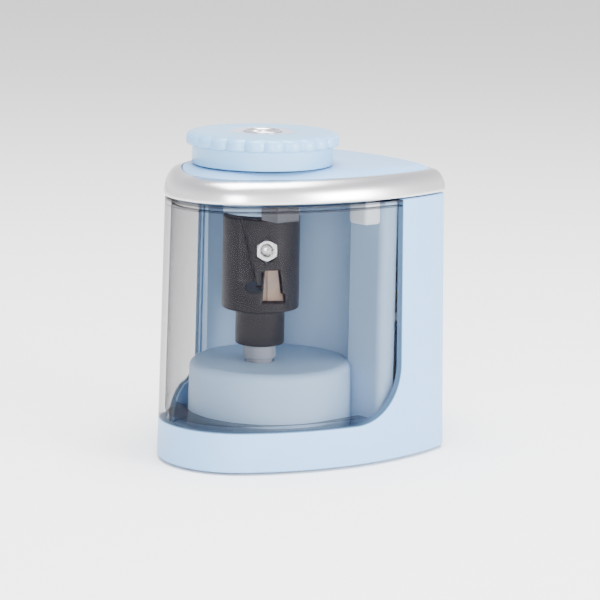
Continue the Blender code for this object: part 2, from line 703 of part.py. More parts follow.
def build_cutter():
    pivot = (0.0, AXIS_Y, CUTTER_FOOT)
    place = radial_frame()
    profile = [
        (SHAFT_RADIUS + 0.1 * MM, BOSS_FOOT),
        (BOSS_RADIUS - 0.5 * MM, BOSS_FOOT),
        (BOSS_RADIUS, BOSS_FOOT + 0.6 * MM),
        (BOSS_RADIUS, CUTTER_FOOT),
        (CUTTER_RADIUS - 0.6 * MM, CUTTER_FOOT),
        (CUTTER_RADIUS, CUTTER_FOOT + 0.6 * MM),
        (CUTTER_RADIUS, CUTTER_TOP),
        (PENCIL_RADIUS, CUTTER_TOP),
        (PENCIL_RADIUS, CUTTER_TOP - 5 * MM),
        (0.9 * MM, CUTTER_FOOT + 1.5 * MM),
        (0.9 * MM, BOSS_FOOT + 6.0 * MM),
        (SHAFT_RADIUS + 0.1 * MM, BOSS_FOOT + 6.0 * MM),
    ]
    body = turned(profile, (0.0, AXIS_Y), 44, hollow=True)
    holder = add_object("cutter_holder", body, "charcoal", pivot)
    window_side = [(-0.8, 44.9), (5.1, 44.9), (5.1, 47.2), (4.7, 47.2), (3.7, 54.4), (-0.15, 54.4)]
    window = moved(prism_mm(window_side, 3.4, 14.0), place)
    tunnel = moved(box((6.3 * MM, -3.0 * MM, 53.0 * MM), (7.9 * MM, 3.7 * MM, 66.8 * MM)), place)
    bolt_circle = circle(1.75 * MM, (0.0, NUT_Z), 20)
    bolt_hole = moved(extrude(bolt_circle, -1.0 * MM, 14.0 * MM, axis="X"), place)
    facet_side = [(-12, 71), (-7.42, 71), (-3.0, 52.5), (-2.4, 50.7), (-12, 50.7)]
    facet = moved(prism_mm(facet_side, FACET_DEPTH / MM, 14.0), place)
    slot_side = [(-3.9, 48.0), (0.4, 48.0), (0.4, 50.85), (-3.9, 50.85)]
    slot = moved(prism_mm(slot_side, -14.0, 14.0), radial_frame(SLOT_AZIMUTH))
    for name, helper in (
        ("window", window),
        ("tunnel", tunnel),
        ("bolt_hole", bolt_hole),
        ("facet", facet),
        ("slot", slot),
    ):
        boolean(holder, cutter_from(f"cutter_{name}", helper))
    blade = [(-2.7, 66.4), (3.3, 66.4), (3.3, 53.8), (4.2, 46.9), (4.5, 46.6), (4.5, 45.3)]
    blade += [(-0.3, 45.3), (-0.1, 54.0), (-2.7, 55.0)]
    blade_solid = add_object(
        "blade", moved(prism_mm(blade, 6.6, 7.6), place), "blade_steel", pivot
    )
    blade_hole = moved(extrude(circle(1.8 * MM, (0.0, NUT_Z), 20), 5 * MM, 9 * MM, axis="X"), place)
    boolean(blade_solid, cutter_from("blade_hole", blade_hole))
    turned_bolt = [
        (0.9 * MM, 4.9 * MM),
        (1.45 * MM, 5.3 * MM),
        (1.45 * MM, 12.9 * MM),
        (0.9 * MM, 13.5 * MM),
    ]
    lay_over = place @ Matrix.Translation((0.0, 0.0, NUT_Z)) @ Matrix.Rotation(math.pi / 2, 4, "Y")
    add_object("blade_bolt", moved(turned(turned_bolt, count=20), lay_over), "steel", pivot)
    bore, corner = 1.75 * MM, 3.17 * MM
    nut_foot, nut_top = 11.2 * MM, 13.4 * MM
    nut_ring = [(bore, nut_foot), (corner, nut_foot), (corner, nut_top), (bore, nut_top)]
    nut = moved(turned(nut_ring, count=6, hollow=True), lay_over)
    add_object("blade_nut", nut, "steel", pivot)
    return holder


def build_drive():
    output, compound, motor = gear_centres()
    collar_foot = DRUM_TOP + PRESS_TRAVEL + GAP
    shaft = turned(
        [
            (SHAFT_RADIUS - 0.9 * MM, 5.6 * MM),
            (SHAFT_RADIUS - 0.9 * MM, GEAR_HIGH + 0.2 * MM),
            (SHAFT_RADIUS, GEAR_HIGH + 0.2 * MM),
            (SHAFT_RADIUS, collar_foot),
            (COLLAR_RADIUS, collar_foot),
            (COLLAR_RADIUS, BOSS_FOOT - GAP),
            (SHAFT_RADIUS - 0.2 * MM, BOSS_FOOT - GAP),
            (SHAFT_RADIUS - 0.2 * MM, BOSS_FOOT + 5.7 * MM),
        ],
        output,
        32,
    )
    add_object("drive_shaft", shaft, "white_plastic", (*output, GEAR_HIGH))
    output_phase = math.atan2(compound.y - output.y, compound.x - output.x)
    small_phase = mesh_phase(SMALL_TEETH, compound, OUTPUT_TEETH, output, output_phase)
    wheel = gear(OUTPUT_TEETH, OUTPUT_MODULE, GEAR_LOW, GEAR_HIGH, output, output_phase)
    wheel = add_object("output_gear", wheel, "white_plastic", (*output, GEAR_LOW))
    drill(wheel, output, SHAFT_RADIUS - 0.6 * MM, 0.0, 20 * MM)
    small = gear(SMALL_TEETH, OUTPUT_MODULE, 4.7 * MM, GEAR_HIGH, compound, small_phase)
    large = gear(LARGE_TEETH, PINION_MODULE, 2.9 * MM, 5.0 * MM, compound)
    whole = add_object("compound_gear", large, "white_plastic", (*compound, 2.9 * MM))
    boolean(whole, cutter_from("small_gear_form", small), "UNION")
    drill(whole, compound, 1.3 * MM, 0.0, 20 * MM)
    pin = turned([(1.0 * MM, 2.6 * MM), (1.0 * MM, GEAR_ROOM_TOP - GAP)], compound, 16)
    add_object("gear_axle", pin, "steel")
    pinion_phase = mesh_phase(PINION_TEETH, motor, LARGE_TEETH, compound, 0.0)
    pinion = gear(PINION_TEETH, PINION_MODULE, 2.8 * MM, 7.6 * MM, motor, pinion_phase)
    pinion = add_object("motor_pinion", pinion, "brass", (*motor, 2.8 * MM))
    drill(pinion, motor, 1.25 * MM, 0.0, 20 * MM)
    rotor = turned([(0.95 * MM, 2.6 * MM), (0.95 * MM, 44.8 * MM)], motor, 14)
    add_object("rotor_shaft", rotor, "steel", (*motor, 2.8 * MM))


def motor_outline(shrink=0.0):
    """The round motor with two flats, moved inwards by shrink."""
    radius = MOTOR_RADIUS - shrink
    flat = MOTOR_FLAT - shrink
    half_angle = math.acos(flat / radius)
    top = arc((MOTOR_X, MOTOR_Y), radius, half_angle, math.pi - half_angle, 8)
    bottom = arc((MOTOR_X, MOTOR_Y), radius, math.pi + half_angle, math.tau - half_angle, 8)
    return top + bottom


def build_motor():
    can_low, can_high = 16.4 * MM, 38.6 * MM
    can = add_object("motor_can", extrude(motor_outline(), can_low, can_high), "steel")
    cap = add_object(
        "motor_end_cap",
        extrude(motor_outline(0.4 * MM), can_high + GAP, can_high + 2.6 * MM),
        "white_plastic",
    )
    for piece in (can, cap):
        drill(piece, (MOTOR_X, MOTOR_Y), 1.25 * MM, 10 * MM, 50 * MM)
    for i, y in enumerate((MOTOR_Y - 5 * MM, MOTOR_Y + 5 * MM), 1):
        tab = box(
            (MOTOR_X - 3.6 * MM, y - 0.9 * MM, can_high + 2.9 * MM),
            (MOTOR_X - 3.2 * MM, y + 0.9 * MM, can_high + 6.4 * MM),
        )
        add_object(f"motor_terminal_{i}", tab, "brass")
    bracket = box(
        (MOTOR_X - 7.2 * MM, MOTOR_Y - 7.8 * MM, 14.3 * MM),
        (MOTOR_X + 6.4 * MM, MOTOR_Y + 8.5 * MM, 16.1 * MM),
    )
    plate = add_object("motor_bracket", bracket, "steel")
    drill(plate, (MOTOR_X, MOTOR_Y), 3.2 * MM, 5 * MM, 20 * MM)


def build_battery_bay():
    tray = add_object(
        "battery_box",
        box((BAY_LEFT, BAY_FRONT, BAY_BOTTOM), (BAY_RIGHT, 36.6 * MM, BAY_TOP)),
        "light_blue",
    )
    inside = box(
        (BAY_LEFT + 1.2 * MM, BAY_FRONT + 1.2 * MM, BAY_BOTTOM + 1.4 * MM),
        (BAY_RIGHT - 1.2 * MM, 50 * MM, BAY_TOP - 1.4 * MM),
    )
    boolean(tray, cutter_from("bay_inside", inside))
    trim = outline_solid([(-SHELL_WALL - GAP, 5 * MM), (-SHELL_WALL - GAP, 80 * MM)])
    boolean(tray, cutter_from("bay_trim", trim), "INTERSECT")
    add_screw_posts(tray, base_screw_places()[2:], POST_FOOT, BAY_BOTTOM + 0.7 * MM)
    middle_y = BAY_FRONT + 8.0 * MM
    cells = [(BAY_LEFT + BAY_RIGHT) / 2 + side * 6.9 * MM for side in (-1, 1)]
    low, high = BAY_BOTTOM + 1.4 * MM + GAP, BAY_TOP - 1.4 * MM - GAP
    half, sheet = 5 * MM, 0.5 * MM
    near_y, far_y = middle_y - half, middle_y + half
    bridge = box((cells[0] - half, near_y, low), (cells[1] + half, far_y, low + sheet))
    add_object("contact_bridge", bridge, "steel")
    for i, x in enumerate(cells, 1):
        plate = box((x - half, near_y, high - sheet), (x + half, far_y, high))
        add_object(f"contact_plate_top_{i}", plate, "steel")
        coil = spring_body((x, middle_y), low + sheet + GAP, 4.2 * MM)
        add_object(f"contact_spring_{i}", coil, "steel")


def spring_body(centre, low, height):
    """A conical coil, wound as one wire of round section from a wide foot to a narrow top."""
    turns, steps, sides = 3.0, 33, 5
    wire = 0.35 * MM
    rings = []
    for i in range(steps + 1):
        share = i / steps
        angle = math.tau * turns * share
        radius = (4.0 - 1.6 * share) * MM
        outward = Vector((math.cos(angle), math.sin(angle), 0.0))
        middle = Vector((*centre, low + wire + (height - 2 * wire) * share)) + outward * radius
        rings.append(
            [
                middle
                + outward * (wire * math.cos(math.tau * k / sides))
                + Vector((0.0, 0.0, wire * math.sin(math.tau * k / sides)))
                for k in range(sides)
            ]
        )
    return loft(rings)


def build_battery_door():
    profile = [
        (flare(z) - depth, z)
        for depth, z in (
            (0.0, DOOR_BOTTOM),
            (0.0, DOOR_TOP),
            (DOOR_WALL, DOOR_TOP),
            (DOOR_WALL, DOOR_BOTTOM),
        )
    ]
    middle = (DOOR_LEFT + DOOR_RIGHT) / 2
    pivot = (middle, REAR_Y + flare(DOOR_BOTTOM), DOOR_BOTTOM - GAP / 2)
    door = add_object("battery_door", outline_ring(profile), "light_blue", pivot)
    keep = box((DOOR_LEFT, REAR_Y - 8 * MM, DOOR_BOTTOM), (DOOR_RIGHT, REAR_Y + 8 * MM, DOOR_TOP))
    boolean(door, cutter_from("door_keep", keep), "INTERSECT")
    grip = box(
        (middle - 5 * MM, REAR_Y - 0.7 * MM, DOOR_TOP - 6.0 * MM),
        (middle + 5 * MM, REAR_Y + 5 * MM, DOOR_TOP - 3.4 * MM),
    )
    boolean(door, cutter_from("door_grip", grip))
    return door


def build_start_switch():
    seat = turned([(2.4 * MM, 4.3 * MM), (2.4 * MM, 5.3 * MM)], (0.0, AXIS_Y), 20)
    add_object("start_plunger", seat, "brass", (0.0, AXIS_Y, 4.3 * MM))
    leaf = box((-2.5 * MM, AXIS_Y - 14 * MM, 2.7 * MM), (2.5 * MM, AXIS_Y + 2.0 * MM, 3.0 * MM))
    add_object("start_contact", leaf, "brass")


def build_wires():
    routes = {
        "red_wire": [
            (MOTOR_X - 4.6 * MM, MOTOR_Y - 5 * MM, 44.0 * MM),
            (MOTOR_X - 5.4 * MM, MOTOR_Y - 7 * MM, 50.0 * MM),
            (MOTOR_X - 6.2 * MM, MOTOR_Y - 6.5 * MM, 60.0 * MM),
            (MOTOR_X - 6.8 * MM, MOTOR_Y - 4.0 * MM, 68.0 * MM),
        ],
        "black_wire": [
            (MOTOR_X - 4.6 * MM, MOTOR_Y + 5 * MM, 44.0 * MM),
            (MOTOR_X - 5.2 * MM, MOTOR_Y + 6 * MM, 50.0 * MM),
            (MOTOR_X - 6.2 * MM, MOTOR_Y + 6.5 * MM, 60.0 * MM),
            (MOTOR_X - 6.8 * MM, MOTOR_Y + 6.0 * MM, 68.0 * MM),
        ],
    }
    for name, points in routes.items():
        curve = bpy.data.curves.new(name, "CURVE")
        curve.dimensions = "3D"
        curve.bevel_depth = 0.6 * MM
        curve.bevel_resolution = 2
        curve.use_fill_caps = True
        spline = curve.splines.new("POLY")
        route = smooth_route(points, 5)
        spline.points.add(len(route) - 1)
        for point, place in zip(spline.points, route):
            point.co = (*place, 1.0)
        curve.materials.append(material(name))
        bpy.context.collection.objects.link(bpy.data.objects.new(name, curve))


def smooth_route(points, steps):
    """Points on a Catmull-Rom curve through the given ones."""
    ends = [Vector(points[0])] + [Vector(p) for p in points] + [Vector(points[-1])]
    made = []
    for a, b, c, d in zip(ends, ends[1:], ends[2:], ends[3:]):
        for i in range(steps):
            t = i / steps
            square = (2 * a - 5 * b + 4 * c - d) * t**2
            cube = (3 * b - a - 3 * c + d) * t**3
            made.append(0.5 * (2 * b + (c - a) * t + square + cube))
    return made + [ends[-1]]


def main():
    clear_scene()
    build_outer_shell()
    build_inner_chassis()
    build_shavings_bin()
    build_base_plate()
    build_base_fasteners()
    build_trim_ring()
    build_top_plate()
    build_pencil_guide()
    build_selector_knob()
    build_under_plate_blocks()
    build_cutter()
    build_drive()
    build_motor()
    build_start_switch()
    build_battery_bay()
    build_battery_door()
    build_wires()


main()
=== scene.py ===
# Battery pencil sharpener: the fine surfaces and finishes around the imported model.
# Places below are in millimetres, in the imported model's own frame.
import math

import bmesh
import bpy
from mathutils import Matrix, Vector


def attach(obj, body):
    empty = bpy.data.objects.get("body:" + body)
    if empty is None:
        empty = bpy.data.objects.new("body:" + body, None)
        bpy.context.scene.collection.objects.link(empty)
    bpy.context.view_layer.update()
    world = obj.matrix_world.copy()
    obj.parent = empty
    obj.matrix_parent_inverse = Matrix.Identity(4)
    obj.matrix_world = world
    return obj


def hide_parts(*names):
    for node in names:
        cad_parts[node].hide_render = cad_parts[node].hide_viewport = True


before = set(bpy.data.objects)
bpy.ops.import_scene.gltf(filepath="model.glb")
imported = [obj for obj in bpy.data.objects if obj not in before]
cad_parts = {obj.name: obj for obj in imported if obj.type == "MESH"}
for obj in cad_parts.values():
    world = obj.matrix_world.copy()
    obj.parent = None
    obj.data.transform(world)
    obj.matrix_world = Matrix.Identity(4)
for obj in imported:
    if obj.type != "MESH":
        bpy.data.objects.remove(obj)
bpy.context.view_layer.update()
print("frame loaded")

mm = 0.001
tau = math.tau
axisY = -11.0  # the knob and the cutter turn about the upright line at x 0 and this y


# Shader helpers. A Wire is one output socket, and maths on wires adds the nodes.
class Wire:
    def __init__(self, finish, socket):
        self.finish = finish
        self.socket = socket

    def maths(self, operation, a, b):
        return self.finish.maths(operation, a, b)

    def __add__(self, other):
        return self.maths("ADD", self, other)

    __radd__ = __add__

    def __mul__(self, other):
        return self.maths("MULTIPLY", self, other)

    def __sub__(self, other):
        return self.maths("SUBTRACT", self, other)

    def __pow__(self, other):
        return self.maths("POWER", self, other)


class Finish:
    # One material. node() adds any node: settings first, then the values or wires of its sockets.
    def __init__(self, name):
        self.material = bpy.data.materials.new(name)
        self.material.use_nodes = True
        self.tree = self.material.node_tree
        self.shader = self.tree.nodes["Principled BSDF"]
        self.place = self.node("ShaderNodeTexCoord", out="Object")

    def node(self, kind, settings=None, sockets=None, out=0):
        made = self.tree.nodes.new(kind)
        for key, value in (settings or {}).items():
            if key == "stops":
                self.stops(made.color_ramp, value)
            else:
                setattr(made, key, value)
        for key, value in (sockets or {}).items():
            self.feed(made.inputs[key], value)
        return Wire(self, made.outputs[out])

    def stops(self, ramp, stops):
        while len(ramp.elements) < len(stops):
            ramp.elements.new(0.5)
        for element, (position, colour) in zip(ramp.elements, stops):
            element.position = position
            element.color = (*colour, 1.0)

    def feed(self, socket, value):
        if isinstance(value, Wire):
            self.tree.links.new(value.socket, socket)
        elif socket.type == "RGBA" and len(value) == 3:
            socket.default_value = (*value, 1.0)
        else:
            socket.default_value = value

    def set(self, **sockets):
        for key, value in sockets.items():
            self.feed(self.shader.inputs[key.replace("_", " ")], value)
        return self

    def noise(self, scale, detail=3.0, stretch=(1.0, 1.0, 1.0)):
        place = self.node("ShaderNodeMapping", None, {"Vector": self.place, "Scale": stretch})
        return self.node(
            "ShaderNodeTexNoise", None, {"Vector": place, "Scale": scale, "Detail": detail}, "Fac"
        )

    def maths(self, operation, a, b):
        return self.node("ShaderNodeMath", {"operation": operation}, {0: a, 1: b})

    def mix(self, share, a, b):
        return self.node("ShaderNodeMix", {"data_type": "RGBA"}, {0: share, 6: a, 7: b}, out=2)

    def bump(self, height, strength, distance=0.0001):
        sockets = {"Height": height, "Strength": strength, "Distance": distance}
        return self.node("ShaderNodeBump", None, sockets, "Normal")

    def facing(self, blend=0.5):
        return self.node("ShaderNodeLayerWeight", None, {"Blend": blend}, "Facing")


bluePlastic = {
    "colour": (0.205, 0.39, 0.635),
    "deep": (0.19, 0.37, 0.62),
    "roughness": 0.40,
    "grain": 1400.0,
    "grainDepth": 0.10,
}
chamberPlastic = {"colour": (0.37, 0.535, 0.74), "deep": (0.35, 0.515, 0.72), "roughness": 0.46}


def mouldedBlue(name, settings=None):
    s = dict(bluePlastic, **(settings or {}))
    made = Finish(name)
    cloud = made.noise(38.0, 4.0)
    fine = made.noise(s["grain"], 2.0)
    made.set(
        Base_Color=made.mix(cloud, s["deep"], s["colour"]),
        Roughness=s["roughness"] - 0.06 + cloud * 0.12,
        Normal=made.bump(fine, s["grainDepth"]),
        Coat_Weight=0.10,
        Coat_Roughness=0.22,
        IOR=1.46,
        Subsurface_Weight=0.06,
        Subsurface_Radius=(0.004, 0.004, 0.005),
    )
    return made.material


knobFace = {
    "colour": (0.175, 0.375, 0.60),
    # dish is a painted shade colour; reach and above bound where it is painted
    "dish": (0.36, 0.375, 0.47),
    "reach": 9.2,
    "above": 91.0,
    "roughness": 0.30,
    "grain": 1400.0,
    "grainDepth": 0.08,
}


def knobBlue(name):
    # The dish in the top of the knob is painted a paler, greyer colour than the rest: painted shade round the
    # pencil entry.
    s = knobFace
    made = Finish(name)
    split = {axis: made.node("ShaderNodeSeparateXYZ", None, {0: made.place}, axis) for axis in "XYZ"}
    across = split["X"] ** 2.0 + (split["Y"] - axisY * mm) ** 2.0
    dishShade = made.maths("LESS_THAN", across, (s["reach"] * mm) ** 2)
    dishShade = dishShade * made.maths("GREATER_THAN", split["Z"], s["above"] * mm)
    cloud = made.noise(38.0, 4.0)
    body = made.mix(cloud, s["colour"], tuple(v * 1.05 for v in s["colour"]))
    made.set(
        # The dish colour is painted shade, not the knob's own colour.
        Base_Color=made.mix(dishShade, body, s["dish"]),
        Roughness=s["roughness"] + cloud * 0.1,
        Normal=made.bump(made.noise(s["grain"], 2.0), s["grainDepth"]),
        Coat_Weight=0.15,
        Coat_Roughness=0.2,
    )
    return made.material


smokeWall = {
    "tint": (0.010, 0.009, 0.013),
    "clearness": 0.215,
    "edge": 0.70,
    "roughness": 0.15,
    "innerRoughness": 0.5,
    # Painted shadow lines, each a height and a half width: under the ring, and under the inner rail.
    "shadowLines": [(73.95, 0.3), (72.5, 0.16)],
    "shadowLineDepth": 0.45,
}


def smokyClear(name):
    # Darker at its edges, and along two painted shadow lines: one under the ring, one under the inner rail.
    # Faces seen from behind are dull, so that they don't glare.
    s = smokeWall
    made = Finish(name)
    scuff = made.noise(900.0, 3.0, (1.0, 1.0, 0.12))
    rim = made.facing(0.35) ** 2.2
    inside = made.node("ShaderNodeNewGeometry", out="Backfacing")
    height = made.node("ShaderNodeSeparateXYZ", None, {0: made.place}, "Z")
    shadowLine = 0.0
    for middle, half in s["shadowLines"]:
        sockets = {0: height, 1: middle * mm, 2: half * mm}
        shadowLine = shadowLine + made.node("ShaderNodeMath", {"operation": "COMPARE"}, sockets)
    made.set(
        Base_Color=made.mix(made.noise(30.0), s["tint"], tuple(v * 1.08 for v in s["tint"])),
        Metallic=inside * 1.0,
        Roughness=s["roughness"] + scuff * 0.03 + inside * s["innerRoughness"],
        # The wall is made less clear, so darker, along the painted shadow lines.
        Alpha=s["clearness"] + rim * s["edge"] + shadowLine * s["shadowLineDepth"],
        IOR=1.49,
        Specular_IOR_Level=0.12,
    )
    return made.material


satinPlate = {"light": (0.74, 0.73, 0.745), "dull": (0.62, 0.615, 0.64), "roughness": 0.27}


def satinSilver(name):
    s = satinPlate
    made = Finish(name)
    cloud = made.noise(26.0, 5.0)
    speck = made.noise(2600.0, 2.0)
    made.set(
        Base_Color=made.mix(cloud, s["dull"], s["light"]),
        Metallic=1.0,
        Roughness=s["roughness"] - 0.04 + cloud * 0.09,
        Normal=made.bump(speck, 0.10, 0.00005),
        Coat_Weight=0.15,
        Coat_Roughness=0.12,
    )
    return made.material


def satinPlastic(name, colour, roughness=0.42, grain=1800.0, depth=0.12, spread=0.12, **more):
    made = Finish(name)
    cloud = made.noise(60.0, 4.0)
    lighter = tuple(min(1.0, v * (1 + spread)) for v in colour)
    made.set(
        Base_Color=made.mix(cloud, colour, lighter),
        Roughness=roughness - 0.05 + cloud * 0.10,
        **({"Normal": made.bump(made.noise(grain, 2.0), depth)} if depth else {}),
        **more,
    )
    return made.material


def turnedMetal(name, colour, roughness=0.26, stretch=(1.0, 1.0, 14.0), spread=0.25):
    made = Finish(name)
    lines = made.noise(1500.0, 3.0, stretch)
    cloud = made.noise(90.0, 4.0)
    darker = tuple(v * (1 - spread) for v in colour)
    made.set(
        Base_Color=made.mix(cloud, darker, colour),
        Metallic=1.0,
        Roughness=roughness - 0.05 + lines * 0.12,
        Normal=made.bump(lines, 0.18, 0.00005),
    )
    return made.material


temperTints = [(0.30, (0.19, 0.13, 0.10)), (0.52, (0.34, 0.25, 0.19)), (0.72, (0.24, 0.20, 0.19))]


def temperedBlade(name):
    # Ground steel that took a straw to bronze tint along the cutting edge.
    made = Finish(name)
    grind = made.noise(2200.0, 3.0, (1.0, 1.0, 9.0))
    heat = made.noise(130.0, 3.0)
    tint = made.node("ShaderNodeValToRGB", {"stops": temperTints}, {"Fac": heat}, "Color")
    made.set(
        Base_Color=tint,
        Metallic=0.55,
        Roughness=0.42 + grind * 0.12,
        Normal=made.bump(grind, 0.25, 0.00005),
    )
    return made.material


finishes = {
    "shell": mouldedBlue("shellBlue"),
    "chamber": mouldedBlue("chamberBlue", chamberPlastic),
    "knob": knobBlue("knobBlue"),
    "smoke": smokyClear("smokeClear"),
    "silver": satinSilver("satinSilver"),
    "charcoal": satinPlastic(
        "charcoalPlastic", (0.010, 0.0096, 0.0105), 0.36, 4000.0, 0.0, 0.3, Specular_IOR_Level=0.2
    ),
    "smokeBlock": satinPlastic("smokeGreyBlock", (0.085, 0.09, 0.105), 0.30),
    "white": satinPlastic("naturalAcetal", (0.74, 0.74, 0.73), 0.38, Subsurface_Weight=0.1),
    "collar": satinPlastic("frostedCollar", (0.225, 0.245, 0.29), 0.40),
    "paleBlock": satinPlastic("paleBlock", (0.72, 0.78, 0.84), 0.38),
    "steel": turnedMetal("plainSteel", (0.70, 0.70, 0.71)),
    "nut": turnedMetal("brightNut", (0.90, 0.90, 0.90), 0.20, (1.0, 1.0, 3.0), 0.06),
    "blade": temperedBlade("temperedBlade"),
    "brass": turnedMetal("brass", (0.75, 0.58, 0.30), 0.28),
    "rubber": satinPlastic("feetRubber", (0.035, 0.035, 0.036), 0.75, 900.0, 0.35),
    "redWire": satinPlastic("redInsulation", (0.55, 0.035, 0.03), 0.45, 700.0, 0.2),
    "blackWire": satinPlastic("blackInsulation", (0.025, 0.025, 0.025), 0.45, 700.0, 0.2),
}
print("finishes made")


# Mesh helpers. Points are in millimetres until meshObject() scales them to metres.
def extrude(points, low, high, axis="Z"):
    place = {
        "Z": lambda a, b, c: (a, b, c),
        "X": lambda a, b, c: (c, a, b),
        "Y": lambda a, b, c: (a, c, b),
    }[axis]
    return loft([[place(a, b, level) for a, b in points] for level in (low, high)])


def loft(rings, close=False):
    made = bmesh.new()
    rows = [[made.verts.new(point) for point in ring] for ring in rings]
    count = len(rows[0])
    pairs = list(zip(rows, rows[1:])) + ([(rows[-1], rows[0])] if close else [])
    for lower, upper in pairs:
        for i in range(count):
            j = (i + 1) % count
            made.faces.new((lower[i], lower[j], upper[j], upper[i]))
    if not close:
        made.faces.new(rows[0])
        made.faces.new(rows[-1])
    return made


def circle(radius, centre=(0.0, 0.0), count=96):
    return arc(centre, radius, 0.0, tau, count)[:-1]


def arc(centre, radius, start, end, steps):
    turn = (end - start) / steps
    return [
        (
            centre[0] + radius * math.cos(start + turn * i),
            centre[1] + radius * math.sin(start + turn * i),
        )
        for i in range(steps + 1)
    ]


def fillet(start, end, steps=8):
    # A quarter ellipse that leaves start upwards and reaches end sideways.
    (x0, z0), (x1, z1) = start, end
    quarter = [tau / 4 * i / steps for i in range(steps + 1)]
    return [(x1 + (x0 - x1) * math.cos(a), z0 + (z1 - z0) * math.sin(a)) for a in quarter]


def turned(profile, centre=(0.0, 0.0), count=96, hollow=False):
    rings = [[(x, y, z) for x, y in circle(r, centre, count)] for r, z in profile]
    return loft(rings, close=hollow)


def box(low, high):
    (x0, y0, z0), (x1, y1, z1) = low, high
    return extrude([(x0, y0), (x1, y0), (x1, y1), (x0, y1)], z0, z1)


def moved(made, matrix):
    bmesh.ops.transform(made, matrix=matrix, verts=made.verts)
    return made


def meshObject(name, made):
    bmesh.ops.recalc_face_normals(made, faces=made.faces)
    bmesh.ops.scale(made, vec=(mm, mm, mm), verts=made.verts)
    mesh = bpy.data.meshes.new(name)
    made.to_mesh(mesh)
    made.free()
    obj = bpy.data.objects.new(name, mesh)
    bpy.context.scene.collection.objects.link(obj)
    return obj


def settle(obj):
    # Turn the modifiers into plain mesh.
    graph = bpy.context.evaluated_depsgraph_get()
    done = bpy.data.meshes.new_from_object(obj.evaluated_get(graph))
    obj.modifiers.clear()
    obj.data = done
    return obj


def carve(obj, *steps):
    # Each step is a mesh, or a pair of an operation and a mesh.
    helpers = []
    for i, step in enumerate(steps):
        operation, made = step if isinstance(step, tuple) else ("DIFFERENCE", step)
        helper = meshObject(f"{obj.name}Helper{i}", made)
        helpers.append(helper)
        modifier = obj.modifiers.new(f"step{i}", "BOOLEAN")
        modifier.object = helper
        modifier.operation = operation
    settle(obj)
    for helper in helpers:
        bpy.data.objects.remove(helper)
    return obj


def soften(obj, width, segments=3, angle=35.0):
    bevel = obj.modifiers.new("edges", "BEVEL")
    bevel.width = width * mm
    bevel.segments = segments
    bevel.limit_method = "ANGLE"
    bevel.angle_limit = math.radians(angle)
    bevel.harden_normals = False
    return settle(obj)


def finishPiece(obj, finish, body, *nodes, slot=None, sharp=32.0):
    obj.data.shade_smooth()
    obj.data.set_sharp_from_angle(angle=math.radians(sharp))
    obj.data.materials.clear()
    obj.data.materials.append(finishes[finish])
    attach(obj, body)
    if nodes:
        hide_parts(*nodes)
    return obj


# The plan outline: a nose arc, two side arcs, small corners and a rear arc.
plan = {
    "noseY": -18.73,
    "noseRadius": 20.86,
    "noseAngle": math.radians(58.0),
    "sideRadius": 77.4,
    "cornerRadius": 3.4,
    "leastCorner": 1.0,
    "rearRadius": 76.3,
    "rearY": 39.6,
}
heights = {
    "shellFoot": 0.7,
    "seam": 11.7,
    "shellTop": 74.3,
    "ringFoot": 74.7,
    "ringTop": 81.1,
    "plateTop": 82.8,
    "knobFoot": 83.2,
    "knobDisc": 88.4,
    "knobTop": 92.2,
}


def meeting(first, firstReach, second, secondReach):
    # The right-hand one of the two points where two circles cross.
    span = Vector(second) - Vector(first)
    along = (firstReach**2 - secondReach**2 + span.length**2) / (2 * span.length)
    across = math.sqrt(firstReach**2 - along**2)
    ahead = span.normalized()
    sides = [Vector(first) + ahead * along + Vector((ahead.y, -ahead.x)) * s for s in (across, -across)]
    return max(sides, key=lambda point: point.x)


def outline(offset=0.0, setback=0.0, steps=(30, 34, 12, 22)):
    # The plan, moved outwards by offset. setback pulls its nose back.
    p = plan
    corner = max(p["cornerRadius"] + offset, p["leastCorner"])
    nose = Vector((0.0, p["noseY"]))
    towards = Vector((math.sin(p["noseAngle"]), -math.cos(p["noseAngle"])))
    sideCentre = nose - towards * (p["sideRadius"] - p["noseRadius"])
    rearCentre = Vector((0.0, p["rearY"] - p["rearRadius"]))
    sideReach = p["sideRadius"] + offset
    rearReach = p["rearRadius"] + offset
    cornerCentre = meeting(sideCentre, sideReach - corner, rearCentre, rearReach - corner)
    fromSide = cornerCentre - sideCentre
    fromRear = cornerCentre - rearCentre
    sideEnd = math.atan2(fromSide.y, fromSide.x)
    rearStart = math.atan2(fromRear.y, fromRear.x)
    noseEnd = p["noseAngle"] - tau / 4
    right = arc(nose, p["noseRadius"] + offset, -tau / 4, noseEnd, steps[0])
    right += arc(sideCentre, sideReach, noseEnd, sideEnd, steps[1])[1:]
    right += arc(cornerCentre, corner, sideEnd, rearStart, steps[2])[1:]
    right += arc(rearCentre, rearReach, rearStart, tau / 4, steps[3])[1:]
    reach = p["noseRadius"] - p["noseY"]
    right = [(x, y + setback * max(0.0, -y / reach) ** 3) for x, y in right]
    return right + [(-x, y) for x, y in right[-2:0:-1]]


flares = {"floor": 1.82, "seam": 1.42}


def flare(z):
    # How far the outline stands out at a height: most at the floor, less at the seam, none at the ring.
    seam, top = heights["seam"], heights["ringFoot"]
    if z <= seam:
        return flares["floor"] + (flares["seam"] - flares["floor"]) * z / seam
    return flares["seam"] * (top - z) / (top - seam)


def band(profile, close=True):
    return loft([[(x, y, z) for x, y in outline(offset)] for offset, z in profile], close)


# The window: its opaque edges, their rounds and the seams.
window = {
    "nearEdge": 16.0,
    "nearRound": 16.0,
    "farEdge": -13.9,
    "farRound": 7.5,
    "farRoundZ": 24.6,
    "toeY": -17.6,
    "toeRadius": 9.9,
    "farSeam": 7.6,
    "farX": -14.6,
    "gap": 0.3,
    "ahead": -60.0,
    "aside": 50.0,
    "lap": 0.5,
}


